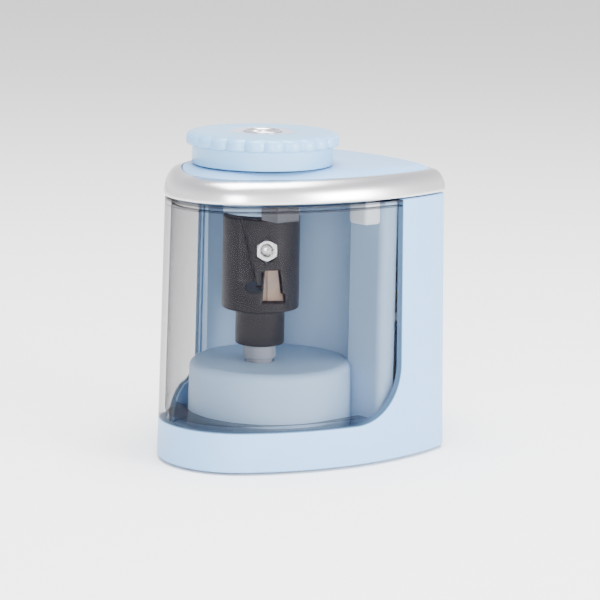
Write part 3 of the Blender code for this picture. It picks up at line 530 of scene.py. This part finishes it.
def windowPrisms(clear=0.0, top=heights["ringTop"]):
    # The near, middle and far parts of the room that the clear wall takes from the shell.
    w, seam, ahead, lap = window, heights["seam"], window["ahead"], window["lap"]
    near = [(w["nearEdge"] - clear, top)]
    corner = (w["nearEdge"] - w["nearRound"], seam + w["nearRound"])
    near += arc(corner, w["nearRound"] - clear, 0.0, -tau / 4, 40)
    near += [(ahead, seam + clear), (ahead, top)]
    roundY = w["farEdge"] - w["farRound"]
    far = [(w["farEdge"] - clear, top)]
    far += arc((roundY, w["farRoundZ"]), w["farRound"] - clear, 0.0, -tau / 4, 20)
    toe = w["toeRadius"] + clear
    lean = math.acos((roundY - w["toeY"]) / toe)
    far += arc((w["toeY"], w["farSeam"]), toe, lean, math.pi - math.asin(clear / toe), 20)[1:]
    far += [(ahead, w["farSeam"] + clear), (ahead, top)]
    farX = w["farX"] - clear
    middle = [(plan["noseY"], top), (plan["noseY"], seam + clear), (ahead, seam + clear), (ahead, top)]
    return [
        extrude(near, 0.0, w["aside"], "X"),
        extrude(middle, farX - lap, lap, "X"),
        extrude(far, -w["aside"], farX, "X"),
    ]


shell = {"wall": 2.2, "footRound": 0.8, "topRound": 0.2, "door": (-20.4, 8.0, 15.4, 66.0), "doorReach": 8.0}


def outerShell():
    foot, seam, top = heights["shellFoot"], heights["seam"], heights["shellTop"]
    footEdge = flare(foot) - shell["footRound"]
    outer = [
        (footEdge, foot),
        (footEdge + 0.35, foot + 0.12),
        (flare(foot) - 0.12, foot + 0.45),
        (flare(foot + 1), foot + 1.0),
        (flare(seam), seam),
        (flare(seam + 20), seam + 20),
        (flare(top), top - shell["topRound"]),
        (flare(top) - shell["topRound"], top),
    ]
    inner = [(flare(z) - shell["wall"], z) for z in (top, seam, foot)]
    made = meshObject("outerShell", band(outer + inner))
    left, right, low, high = shell["door"]
    gap, rear, reach = window["gap"], plan["rearY"], shell["doorReach"]
    doorHole = box((left - gap, rear - reach, low - gap), (right + gap, rear + reach, high + gap))
    carve(made, *windowPrisms(), doorHole)
    return finishPiece(made, "shell", "housing", "outer_shell", slot="light_blue")


binShape = {
    "wall": 1.8,
    "floor": 1.1,
    "reach": 12.0,
    "railFoot": 72.7,
    "railDepth": 0.9,
    "topRound": 0.2,
    "keepTop": 90.0,
    "drumGap": 0.9,
    "drumCut": (5.0, 40.0),
    "behind": 60.0,
}


def shavingsBin():
    b = binShape
    gap = window["gap"]
    skirt = window["farSeam"] + gap
    floor = heights["seam"] + gap + 0.05
    floorTop = floor + b["floor"]
    top = heights["shellTop"] - 0.1
    rail = b["wall"] + b["railDepth"]
    profile = [
        (flare(skirt), skirt),
        (flare(floor), floor),
        (flare(top), top - b["topRound"]),
        (flare(top) - b["topRound"], top),
        (flare(top) - rail, top),
        (flare(b["railFoot"]) - rail, b["railFoot"]),
        (flare(b["railFoot"]) - b["wall"], b["railFoot"] - 0.15),
        (flare(floorTop) - b["wall"], floorTop + 0.8),
        (flare(floorTop) - b["wall"] - 0.25, floorTop + 0.2),
        (flare(floorTop) - b["wall"] - 0.8, floorTop),
        (flare(floorTop) - b["reach"], floorTop),
        (flare(floor) - b["reach"], floor),
        (flare(floor) - b["wall"], floor),
        (flare(skirt) - b["wall"], skirt),
    ]
    made = meshObject("shavingsBin", band(profile))
    # The other prisms differ from the first by a hair, so that no two faces lie in one plane.
    keep = meshObject("binKeep", windowPrisms(gap, b["keepTop"])[0])
    carve(keep, *[("UNION", prism) for prism in windowPrisms(gap + 0.001, b["keepTop"])[1:]])
    modifier = made.modifiers.new("keep", "BOOLEAN")
    modifier.object = keep
    modifier.operation = "INTERSECT"
    settle(made)
    bpy.data.objects.remove(keep)
    reach = drum["radius"] + b["drumGap"]
    clear = arc((0.0, drum["y"]), reach, math.pi, tau, 64) + [(reach, b["behind"]), (-reach, b["behind"])]
    carve(made, extrude(clear, *b["drumCut"]))
    return finishPiece(made, "smoke", "bin", "shavings_bin", slot="smoke_clear")


drum = {"y": -7.1, "radius": 22.95, "top": 26.8, "recess": 22.2, "fillet": 2.2, "backY": 10.4}
deck = {
    "foot": 5.8,
    "top": 7.5,
    "wall": 1.8,
    "partitionTop": 73.6,
    "inset": 0.4,
    "aside": -40.0,
    "behind": 50.0,
}
shaftRoom = {"radius": 4.2, "heights": (20.0, 30.0)}
gearRoom = {"place": (9.943, 6.353), "radius": 5.2, "heights": (4.0, 9.8)}
wallEnd = {"x": 27.1, "round": 2.2, "hiddenRound": 1.2, "gap": 0.3}
flange = {"x": -22.0, "front": 0.5, "back": 0.7, "lap": 0.3}
screwPost = {"places": ((-21.6, -14.0), (21.6, -14.0)), "radius": 2.4, "foot": 2.7, "hole": 1.4}


def partition(offset):
    # The path of the recess round the cutter and of the flat wall beside it.
    radius = drum["recess"] + offset
    back = drum["backY"] + offset
    leftY = window["farEdge"] + deck["inset"] + offset
    start = math.pi - math.asin((leftY - drum["y"]) / radius)
    end = math.asin((back - drum["y"]) / radius)
    right = wallEnd["x"] - offset
    corner = wallEnd["hiddenRound"] if offset else wallEnd["round"]
    return (
        arc((0.0, drum["y"]), radius, start, end, 90)
        + arc((right - corner, back + corner), corner, -tau / 4, 0.0, 8)
        + [(right, window["nearEdge"] - wallEnd["gap"])]
    )


def farWallX(y, z):
    # Where the shell's inner face stands on the far side.
    path = [point for point in outline(flare(z) - shell["wall"]) if point[0] < 0]
    (x0, y0), (x1, y1) = sorted(path, key=lambda point: abs(point[1] - y))[:2]
    return x0 + (x1 - x0) * (y - y0) / (y1 - y0)


def chamber():
    # The chamber's floor with its walls and drum, hollow underneath, and two posts for the base screws.
    d, k, post = drum, deck, screwPost
    inner = flare(k["foot"]) - shell["wall"] - 0.3
    made = meshObject("chamberChassis", band([(inner, k["foot"]), (inner, k["top"])], close=False))
    front = [(flange["x"] - 0.6, window["farEdge"] + k["inset"])] + partition(0.0)
    wall = extrude(front + partition(k["wall"])[::-1], k["foot"] + 0.4, k["partitionTop"])
    strip, endX = [], flange["x"]
    y0, y1 = window["farEdge"] + flange["front"], window["farEdge"] + flange["back"] + k["wall"]
    for z in (k["foot"] + 0.6, k["partitionTop"] - 0.1):
        x0, x1 = farWallX(y0, z) + flange["lap"], farWallX(y1, z) + flange["lap"]
        strip.append([(x0, y0, z), (endX, y0, z), (endX, y1, z), (x1, y1, z)])
    shoulder = d["top"] - d["fillet"]
    profile = [(d["radius"] + 0.4, k["foot"] + 0.8), (d["radius"], shoulder)]
    profile += fillet((d["radius"], shoulder), (d["radius"] - d["fillet"], d["top"]), 9)[1:]
    profile += [(d["radius"] - 4.0, d["top"])]
    solidDrum = turned(profile, (0.0, d["y"]), 144)
    rearPath = partition(k["wall"] + 0.5)
    aside, behind = k["aside"], k["behind"]
    rear = rearPath[:-1] + [(rearPath[-2][0], behind), (aside, behind), (aside, rearPath[0][1])]
    rearRoom = extrude(rear, k["foot"] - 1, k["top"] + 2)
    hollowRadius = d["radius"] - k["wall"]
    hollow = turned([(hollowRadius, k["foot"] - 1), (hollowRadius, d["top"] - k["wall"])], (0.0, d["y"]), 96)
    shaftHole = turned([(shaftRoom["radius"], z) for z in shaftRoom["heights"]], (0.0, axisY), 64)
    room = turned([(gearRoom["radius"], z) for z in gearRoom["heights"]], gearRoom["place"], 48)
    steps = [("UNION", wall), ("UNION", loft(strip)), ("UNION", solidDrum), rearRoom, hollow, shaftHole, room]
    for place in post["places"]:
        solidPost = [(post["radius"], post["foot"]), (post["radius"], k["foot"] + 0.8)]
        steps.append(("UNION", turned(solidPost, place, 32)))
        steps.append(turned([(post["hole"], post["foot"] - 1), (post["hole"], k["foot"] + 1.1)], place, 32))
    carve(made, *steps)
    return finishPiece(made, "chamber", "housing", "inner_chassis", slot="light_blue")


outerShell()
print("shell made")
chamber()
shavingsBin()
print("chamber and bin made")


# Top: the silver ring, the crowned plate, the guide under it and the scalloped knob.
ring = {"width": 3.6, "inside": 2.5, "noseSetback": 1.9, "farRise": 1.5}
plate = {
    "wall": 2.9,
    "hollow": 4.9,
    "hole": 9.2,
    "creaseY": 8.2,
    "fallStart": 6.2,
    "fallEnd": 45.0,
    "drop": 0.6,
    "seatSetback": 1.3,
}


def smoothShare(value, low, high):
    share = min(1.0, max(0.0, (value - low) / (high - low)))
    return share * share * (3 - 2 * share)


def rimRing(offset, z, setback):
    # The outline at one height. The ring and the plate stand up to farRise higher at the far corner.
    points = []
    for x, y in outline(offset, setback):
        raised = ring["farRise"] * smoothShare(-x, 2.0, 15.0) * smoothShare(-y, -22.0, 10.0)
        lift = raised * smoothShare(z, heights["ringFoot"] + 0.5, heights["ringTop"])
        points.append((x, y, min(z + lift, max(z, heights["plateTop"]))))
    return points


def trimRing():
    foot, top, width = heights["ringFoot"], heights["ringTop"], ring["width"]
    profile = [(-0.3, foot), (0.08, foot + 0.1), (0.26, foot + 0.3)]
    profile += fillet((0.3, foot + 0.5), (-width, top), 22)
    profile += [(-width - 0.08, top - 0.15), (-width, top - 1.2)]
    profile += [(-ring["inside"], top - 2.4), (-ring["inside"], foot)]
    rings = []
    for offset, z in profile:
        share = min(1.0, max(0.0, -offset / width))
        rings.append(rimRing(offset, z, ring["noseSetback"] * share**1.5))
    made = meshObject("trimRing", loft(rings, close=True))
    return finishPiece(made, "silver", "housing", "trim_ring", slot="silver", sharp=50.0)


def topPlate():
    foot, top, crown = heights["ringFoot"], heights["ringTop"], heights["plateTop"]
    back, seat = ring["noseSetback"], plate["seatSetback"]
    rim = [
        (-plate["wall"], foot + 0.1, seat),
        (-plate["wall"], top - 2.7, seat),
        (-3.95, top - 1.5, back),
        (-3.95, top - 0.3, back),
        (-4.02, top - 0.08, back),
        (-4.2, top + 0.08, back),
        (-4.6, top + 0.3, back),
        (-5.4, top + 0.75, back),
        (-6.4, top + 1.18, back),
        (-8.2, crown - 0.12, back),
        (-9.8, crown - 0.02, back),
        (-11.0, crown, back),
    ]
    made = meshObject("topPlate", loft([rimRing(*level) for level in rim]))
    hollow = band([(-plate["hollow"], foot - 2.0), (-plate["hollow"], top - 1.6)], close=False)
    guideHole = turned([(plate["hole"], 70.0), (plate["hole"], 95.0)], (0.0, axisY), 96)
    start, end = plate["fallStart"], plate["fallEnd"]
    rearFall = [(start, crown + 0.03), (plate["creaseY"], crown - 0.005), (end, crown - plate["drop"])]
    rearFall += [(end, crown + 3.0), (start, crown + 3.0)]
    carve(made, hollow, guideHole, extrude(rearFall, -40.0, 40.0, "X"))
    return finishPiece(made, "shell", "housing", "top_plate", slot="light_blue", sharp=40.0)


guide = {
    "bore": 4.4,
    "flange": 10.8,
    "foot": 69.4,
    "neck": 8.9,
    "neckTop": 84.0,
    "tube": 6.6,
    "tubeTop": 88.0,
    "chamfer": 0.3,
}


def pencilGuide():
    g = guide
    bore, side, foot, cut = g["bore"], g["flange"], g["foot"], g["chamfer"]
    tube, top = g["tube"], g["tubeTop"]
    shoulder = heights["ringTop"] - 1.9
    profile = [(bore + 0.5, foot), (side - 0.4, foot), (side - 0.1, foot + 0.12), (side, foot + 0.4)]
    profile += [(side, shoulder), (g["neck"], shoulder), (g["neck"], g["neckTop"]), (tube, g["neckTop"])]
    profile += [(tube, top - cut), (tube - cut, top), (bore + cut, top)]
    profile += [(bore, top - cut), (bore, foot + 0.5)]
    made = meshObject("pencilGuide", turned(profile, (0.0, axisY), 112, hollow=True))
    return finishPiece(made, "chamber", "housing", "pencil_guide", slot="light_blue")


knob = {
    "lobes": 24,
    "perLobe": 12,
    "skirt": 19.7,
    "rim": 21.4,
    "swell": 0.95,
    "lobeSharpness": 0.75,
    "face": 14.0,
    "dish": 9.3,
    "dishDepth": 0.3,
    "bush": 5.1,
    "bore": 4.3,
}


def knobRing(radius, z, lobed=0.0, sag=0.0):
    # One level of the knob. lobed is how much of the scallops it shows, sag how far it drops between lobes.
    count = knob["lobes"] * knob["perLobe"]
    points = []
    for i in range(count):
        angle = tau * i / count
        wave = abs(math.cos(knob["lobes"] * angle / 2)) ** knob["lobeSharpness"] - 1.0
        reach = radius + knob["swell"] * lobed * wave
        points.append((reach * math.cos(angle), axisY + reach * math.sin(angle), z - sag * wave))
    return points


def selectorKnob():
    k, foot, disc, top = knob, heights["knobFoot"], heights["knobDisc"], heights["knobTop"]
    skirt, rim = k["skirt"], k["rim"]
    levels = [
        knobRing(skirt - 2.0, foot),
        knobRing(skirt - 0.15, foot),
        knobRing(skirt, foot + 0.15),
        knobRing(skirt - 0.08, disc - 0.5),
        knobRing(skirt + 0.02, disc - 0.12),
        knobRing(skirt + 0.25, disc, 0.15),
        knobRing(rim - 0.75, disc, 1.0, 0.15),
        knobRing(rim - 0.32, disc + 0.14, 1.0, 0.15),
        knobRing(rim - 0.08, disc + 0.42, 1.0),
        knobRing(rim, disc + 0.9, 1.0),
        knobRing(rim, top - 1.9, 1.0),
        knobRing(rim - 0.12, top - 1.35, 0.98),
        knobRing(rim - 0.45, top - 0.85, 0.9),
        knobRing(rim - 1.0, top - 0.48, 0.75),
        knobRing(rim - 1.9, top - 0.22, 0.45),
        knobRing(rim - 3.2, top - 0.06, 0.12),
        knobRing(rim - 4.6, top),
        knobRing(k["face"], top),
        knobRing(k["dish"] + 0.15, top),
        knobRing(k["dish"], top - 0.05),
        knobRing(k["dish"] - 0.25, top - k["dishDepth"]),
        knobRing(k["bush"] + 0.35, top - k["dishDepth"]),
        knobRing(k["bush"] + 0.3, disc),
        knobRing(skirt - 2.0, disc),
    ]
    made = meshObject("selectorKnob", loft(levels, close=True))
    return finishPiece(made, "knob", "knob", "selector_knob", slot="light_blue", sharp=48.0)


def entryBush():
    bush, bore, disc, top = knob["bush"], knob["bore"], heights["knobDisc"] + 0.1, heights["knobTop"]
    profile = [(bore, disc), (bush, disc), (bush, top), (bush - 0.12, top + 0.12), (bush - 0.4, top + 0.2)]
    profile += [(bore + 0.45, top + 0.12), (bore + 0.2, top - 0.1), (bore, top - 0.7)]
    made = meshObject("entryBush", turned(profile, (0.0, axisY), 96, hollow=True))
    return finishPiece(made, "silver", "knob", "entry_bush", slot="silver")


# Each block: two opposite corners, rounding, finish, node and slot.
blocks = {
    "binCatch": ((19.6, 4.2, 67.4), (26.9, 10.1, 74.5), 1.1, "paleBlock", "bin_catch", "white_plastic"),
    "binSwitch": ((11.2, -20.3, 69.1), (18.5, -12.4, 74.5), 0.5, "smokeBlock", "bin_switch", "charcoal"),
}


def underPlateBlocks():
    for name, (low, high, rounding, finish, node, slot) in blocks.items():
        made = meshObject(name, box(low, high))
        soften(made, rounding, 4)
        finishPiece(made, finish, "housing", node, slot=slot)


trimRing()
topPlate()
pencilGuide()
selectorKnob()
entryBush()
underPlateBlocks()
print("top made")


# Cutter: the holder with its blade, bolt and nut. Its own frame has +X out through the nut.
cutter = {
    "radius": 10.9,
    "top": 68.6,
    "foot": 42.2,
    "boss": 6.95,
    "bossFoot": 31.9,
    "bore": 4.3,
    "shaft": 3.7,
    "collar": 4.6,
    "nutZ": 60.4,
    "cone": 0.9,
    "azimuth": math.radians(-31.5),
    "slotAzimuth": math.radians(-38.8),
}
# What is cut from the holder's side: outlines, each with how far out along X its cut begins.
cuts = {
    "end": 14.0,
    "opening": ([(-0.8, 44.9), (5.9, 44.9), (5.9, 47.5), (5.2, 47.6), (4.3, 54.4), (-0.15, 54.4)], 3.4),
    "boltHole": (1.75, -1.0),
    "facet": ([(-12, 71), (-7.42, 71), (-3.0, 52.5), (-2.4, 50.7), (-12, 50.7)], 8.2),
    "groove": ([(-7.7, 71.0), (-7.1, 71.0), (-2.65, 52.3), (-3.25, 52.3)], 7.3),
    "slit": ([(-1.3, 50.4), (-0.6, 50.4), (-0.6, 54.0), (-1.3, 54.0)], 3.0),
    "recess": (3.9, 10.35),
    "seat": ((6.3, -3.0, 53.0), (7.9, 3.7, 66.8)),
}


def aroundAxis(azimuth):
    return Matrix.Translation((0.0, axisY, 0.0)) @ Matrix.Rotation(azimuth, 4, "Z")


def sideCut(points, start, matrix):
    return moved(extrude(points, start, cuts["end"], "X"), matrix)


def cutterHolder():
    c, out = cutter, aroundAxis(cutter["azimuth"])
    r, foot, boss, low = c["radius"], c["foot"], c["boss"], c["bossFoot"]
    profile = [(c["shaft"] + 0.1, low), (boss - 0.6, low), (boss - 0.2, low + 0.12), (boss, low + 0.5)]
    profile += [(boss, foot - 0.35), (boss + 0.35, foot)]
    profile += [(r - 0.8, foot), (r - 0.3, foot + 0.16), (r - 0.06, foot + 0.42), (r, foot + 0.8)]
    profile += [(r, c["top"] - 0.4), (r - 0.3, c["top"]), (c["bore"] + 0.4, c["top"])]
    profile += [(c["bore"], c["top"] - 0.6), (c["bore"], c["top"] - 5), (c["cone"], foot + 1.5)]
    profile += [(c["cone"], low + 6), (c["shaft"] + 0.1, low + 6)]
    made = meshObject("cutterHolder", turned(profile, (0.0, axisY), 128, hollow=True))
    opening, facet, groove, slit = (
        sideCut(*cuts[name], out) for name in ("opening", "facet", "groove", "slit")
    )
    seat = moved(box(*cuts["seat"]), out)
    (boltRadius, boltStart), (recessRadius, recessStart) = cuts["boltHole"], cuts["recess"]
    boltHole = sideCut(circle(boltRadius, (0.0, c["nutZ"]), 32), boltStart, out)
    recess = sideCut(circle(recessRadius, (0.0, c["nutZ"]), 40), recessStart, out)
    # The slot runs right through the holder, and one of its ends is round.
    end = arc((-3.0, 49.42), 1.42, tau * 0.75, tau * 0.25, 12)
    slotSide = [(0.4, 48.0), (0.4, 50.85)] + end[::-1]
    slot = sideCut(slotSide, -cuts["end"], aroundAxis(c["slotAzimuth"]))
    carve(made, opening, seat, boltHole, facet, groove, slot, slit, recess)
    return finishPiece(made, "charcoal", "cutter", "cutter_holder", slot="charcoal", sharp=30.0)


blade = {
    "side": [(-2.7, 66.4), (3.4, 66.4), (3.85, 53.8), (4.6, 47.3), (5.4, 47.1), (5.4, 45.3)]
    + [(-0.3, 45.3), (-0.1, 54.0), (-2.7, 55.0)],
    "faces": (6.6, 7.6),
    "ground": [(-0.35, 45.0), (0.7, 45.0), (0.45, 54.6), (-0.5, 54.6)],
    "groundFrom": 7.15,
    "groundTilt": math.radians(3.0),
    "hole": 1.8,
}
bolt = {
    "head": [(0.9, 4.9), (1.45, 5.3)],
    "crests": 18,
    "threadStart": 8.0,
    "pitch": 0.27,
    "root": 1.32,
    "radius": 1.45,
    "tip": [(1.3, 12.9), (1.15, 13.0), (0.95, 13.3), (0.35, 13.45)],
}
nut = {
    "corner": 3.17,
    "faces": (11.2, 13.4),
    "chamfer": [(1.0, 10.9), (2.75, 10.95), (3.3, 11.5), (3.3, 13.0), (2.7, 13.42), (1.0, 13.44)],
    "bore": [(2.2, 13.6), (1.8, 12.9), (1.72, 12.8), (1.72, 10.8)],
}


def bladePiece():
    b, out = blade, aroundAxis(cutter["azimuth"])
    made = meshObject("blade", moved(extrude(b["side"], *b["faces"], "X"), out))
    tilted = out @ Matrix.Rotation(b["groundTilt"], 4, "Z")
    edge = moved(extrude(b["ground"], b["groundFrom"], 8.2, "X"), tilted)
    boltHole = moved(extrude(circle(b["hole"], (0.0, cutter["nutZ"]), 32), 5.0, 9.0, "X"), out)
    carve(made, boltHole, edge)
    finishPiece(made, "blade", "cutter", "blade", slot="blade_steel", sharp=20.0)


def boltAndNut():
    # Both are made upright and then laid along the line that runs out through the nut.
    lift = Matrix.Translation((0.0, 0.0, cutter["nutZ"]))
    across = aroundAxis(cutter["azimuth"]) @ lift @ Matrix.Rotation(tau / 4, 4, "Y")
    profile = list(bolt["head"])
    for crest in range(bolt["crests"]):
        z = bolt["threadStart"] + crest * bolt["pitch"]
        profile += [(bolt["root"], z), (bolt["radius"], z + 0.13)]
    made = meshObject("bladeBolt", moved(turned(profile + bolt["tip"], count=40), across))
    finishPiece(made, "steel", "cutter", "blade_bolt", slot="steel")
    made = meshObject("bladeNut", extrude(circle(nut["corner"], count=6), *nut["faces"]))
    carve(made, ("INTERSECT", turned(nut["chamfer"], count=72)), turned(nut["bore"], count=48))
    made.data.transform(Matrix.Scale(mm, 4) @ across @ Matrix.Scale(1 / mm, 4))
    finishPiece(made, "nut", "cutter", "blade_nut", slot="steel", sharp=24.0)


driveEnd = {"foot": 5.6, "step": 9.5, "stepIn": 0.9, "collarLift": 1.1, "chamfer": 0.2, "intoHolder": 5.7}


def driveShaft():
    d, shaft, collar, cut = driveEnd, cutter["shaft"], cutter["collar"], driveEnd["chamfer"]
    foot, head = drum["top"] + d["collarLift"], cutter["bossFoot"] - 0.3
    profile = [(shaft - d["stepIn"], d["foot"]), (shaft - d["stepIn"], d["step"]), (shaft, d["step"])]
    profile += [(shaft, foot), (collar - cut, foot), (collar, foot + cut), (collar, head - cut)]
    profile += [(collar - cut, head), (shaft - cut, head)]
    profile += [(shaft - cut, cutter["bossFoot"] + d["intoHolder"])]
    made = meshObject("driveShaft", turned(profile, (0.0, axisY), 72))
    return finishPiece(made, "collar", "cutter", "drive_shaft", slot="white_plastic")


cutterHolder()
bladePiece()
boltAndNut()
driveShaft()
print("cutter made")


# Battery door with a finger grip, and the coil springs behind it.
door = {
    "wall": 1.8,
    "round": 0.25,
    "gripHalf": 5.0,
    "gripDrop": 6.0,
    "gripHeight": 2.6,
    "gripDepth": 0.7,
}


def batteryDoor():
    d = door
    left, right, low, high = shell["door"]
    middle = (left + right) / 2
    rear, reach = plan["rearY"], shell["doorReach"]
    edge, wall = d["round"], d["wall"]
    levels = [(edge, low), (0.0, low + edge), (0.0, high - edge), (edge, high), (wall, high), (wall, low)]
    made = meshObject("batteryDoor", band([(flare(z) - depth, z) for depth, z in levels]))
    keep = ("INTERSECT", box((left, rear - reach, low), (right, rear + reach, high)))
    half, gripFoot = d["gripHalf"], high - d["gripDrop"]
    gripTop = gripFoot + d["gripHeight"]
    grip = box((middle - half, rear - d["gripDepth"], gripFoot), (middle + half, rear + 5.0, gripTop))
    carve(made, keep, grip)
    return finishPiece(made, "shell", "door", "battery_door", slot="light_blue")


spring = {
    "places": (-13.1, 0.7),
    "y": 29.6,
    "turns": 5.0,
    "steps": 170,
    "sides": 8,
    "wire": 0.35,
    "foot": 4.0,
    "top": 2.4,
    "low": 15.9,
    "height": 4.2,
}


def contactSprings():
    s = spring
    for i, x in enumerate(s["places"], 1):
        rings = []
        for k in range(s["steps"] + 1):
            share = k / s["steps"]
            angle = tau * s["turns"] * share
            away = Vector((math.cos(angle), math.sin(angle), 0.0))
            climb = s["low"] + s["wire"] + (s["height"] - 2 * s["wire"]) * share
            middle = Vector((x, s["y"], climb)) + away * (s["foot"] + (s["top"] - s["foot"]) * share)
            sides = [tau * j / s["sides"] for j in range(s["sides"])]
            rings.append(
                [
                    middle + away * (s["wire"] * math.cos(a)) + Vector((0, 0, s["wire"] * math.sin(a)))
                    for a in sides
                ]
            )
        made = meshObject(f"contactSpring{i}", loft(rings))
        finishPiece(made, "steel", "housing", f"contact_spring_{i}", slot="steel")


batteryDoor()
contactSprings()
print("door and springs made")

# Nodes that stay as packed and only take a finish.
kept = {
    "shell": ["base_plate"],
    "chamber": ["battery_box"],
    "steel": ["gear_axle", "rotor_shaft", "motor_can", "motor_bracket", "contact_bridge"]
    + [f"base_screw_{i}" for i in (1, 2, 3, 4)]
    + [f"contact_plate_top_{i}" for i in (1, 2)],
    "white": ["output_gear", "compound_gear", "motor_end_cap"],
    "brass": ["motor_pinion", "motor_terminal_1", "motor_terminal_2", "start_plunger", "start_contact"],
    "rubber": [f"rubber_foot_{i}" for i in (1, 2, 3, 4)],
    "redWire": ["red_wire"],
    "blackWire": ["black_wire"],
}
for finish, names in kept.items():
    for name in names:
        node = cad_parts[name]
        node.data.materials.clear()
        node.data.materials.append(finishes[finish])
print("kept nodes finished")


# Stage: pale floor, soft studio light and the camera.
studio = {
    "floorSize": 9000.0,
    "floor": (0.95, 0.95, 0.955),
    "low": (1.0, 1.0, 1.02),
    "high": (0.45, 0.45, 0.47),
    "highFrom": 0.8,
    "skyStrength": 2.25,
    "target": (0.0, 0.0, 0.045),
    "lamps": [
        ("keyFront", (0.66, -0.64, 0.20), (0.40, 0.36), 9.5),
        ("right", (0.82, 0.25, 0.21), (0.40, 0.36), 15.0),
        ("above", (0.10, -0.05, 0.85), (0.6, 0.6), 24.0),
    ],
}


def areaLight(name, place, size, power):
    data = bpy.data.lights.new(name, "AREA")
    data.shape = "RECTANGLE"
    data.size, data.size_y = size
    data.energy = power
    lamp = bpy.data.objects.new(name, data)
    lamp.location = place
    lamp.rotation_euler = (Vector(studio["target"]) - Vector(place)).to_track_quat("-Z", "Y").to_euler()
    bpy.context.scene.collection.objects.link(lamp)


def stage():
    made = bmesh.new()
    bmesh.ops.create_grid(made, x_segments=2, y_segments=2, size=studio["floorSize"])
    floor = meshObject("floor", made)
    pale = Finish("paleFloor")
    pale.set(Base_Color=studio["floor"], Roughness=0.9, Specular_IOR_Level=0.1)
    floor.data.materials.append(pale.material)
    world = bpy.data.worlds.new("studioSky")
    world.use_nodes = True
    tree = world.node_tree
    sky = tree.nodes["Background"]
    place = tree.nodes.new("ShaderNodeTexCoord")
    split = tree.nodes.new("ShaderNodeSeparateXYZ")
    ramp = tree.nodes.new("ShaderNodeValToRGB")
    tree.links.new(place.outputs["Generated"], split.inputs[0])
    tree.links.new(split.outputs["Z"], ramp.inputs["Fac"])
    tree.links.new(ramp.outputs["Color"], sky.inputs["Color"])
    for element, value in zip(ramp.color_ramp.elements, (studio["low"], studio["high"])):
        element.color = (*value, 1.0)
    ramp.color_ramp.elements[1].position = studio["highFrom"]
    sky.inputs["Strength"].default_value = studio["skyStrength"]
    bpy.context.scene.world = world
    for lamp in studio["lamps"]:
        areaLight(*lamp)


view = {
    "lens": 140.697,
    "sensor": 36.0,
    "place": (0.50703, -0.41810, 0.16701),
    "turn": (79.3127, -1.0323, 50.4459),
}


def mainCamera():
    data = bpy.data.cameras.new("camera")
    data.lens = view["lens"]
    data.sensor_width = view["sensor"]
    camera = bpy.data.objects.new("camera", data)
    camera.location = view["place"]
    camera.rotation_euler = [math.radians(a) for a in view["turn"]]
    bpy.context.scene.collection.objects.link(camera)
    bpy.context.scene.camera = camera


stage()
mainCamera()
print("stage made")
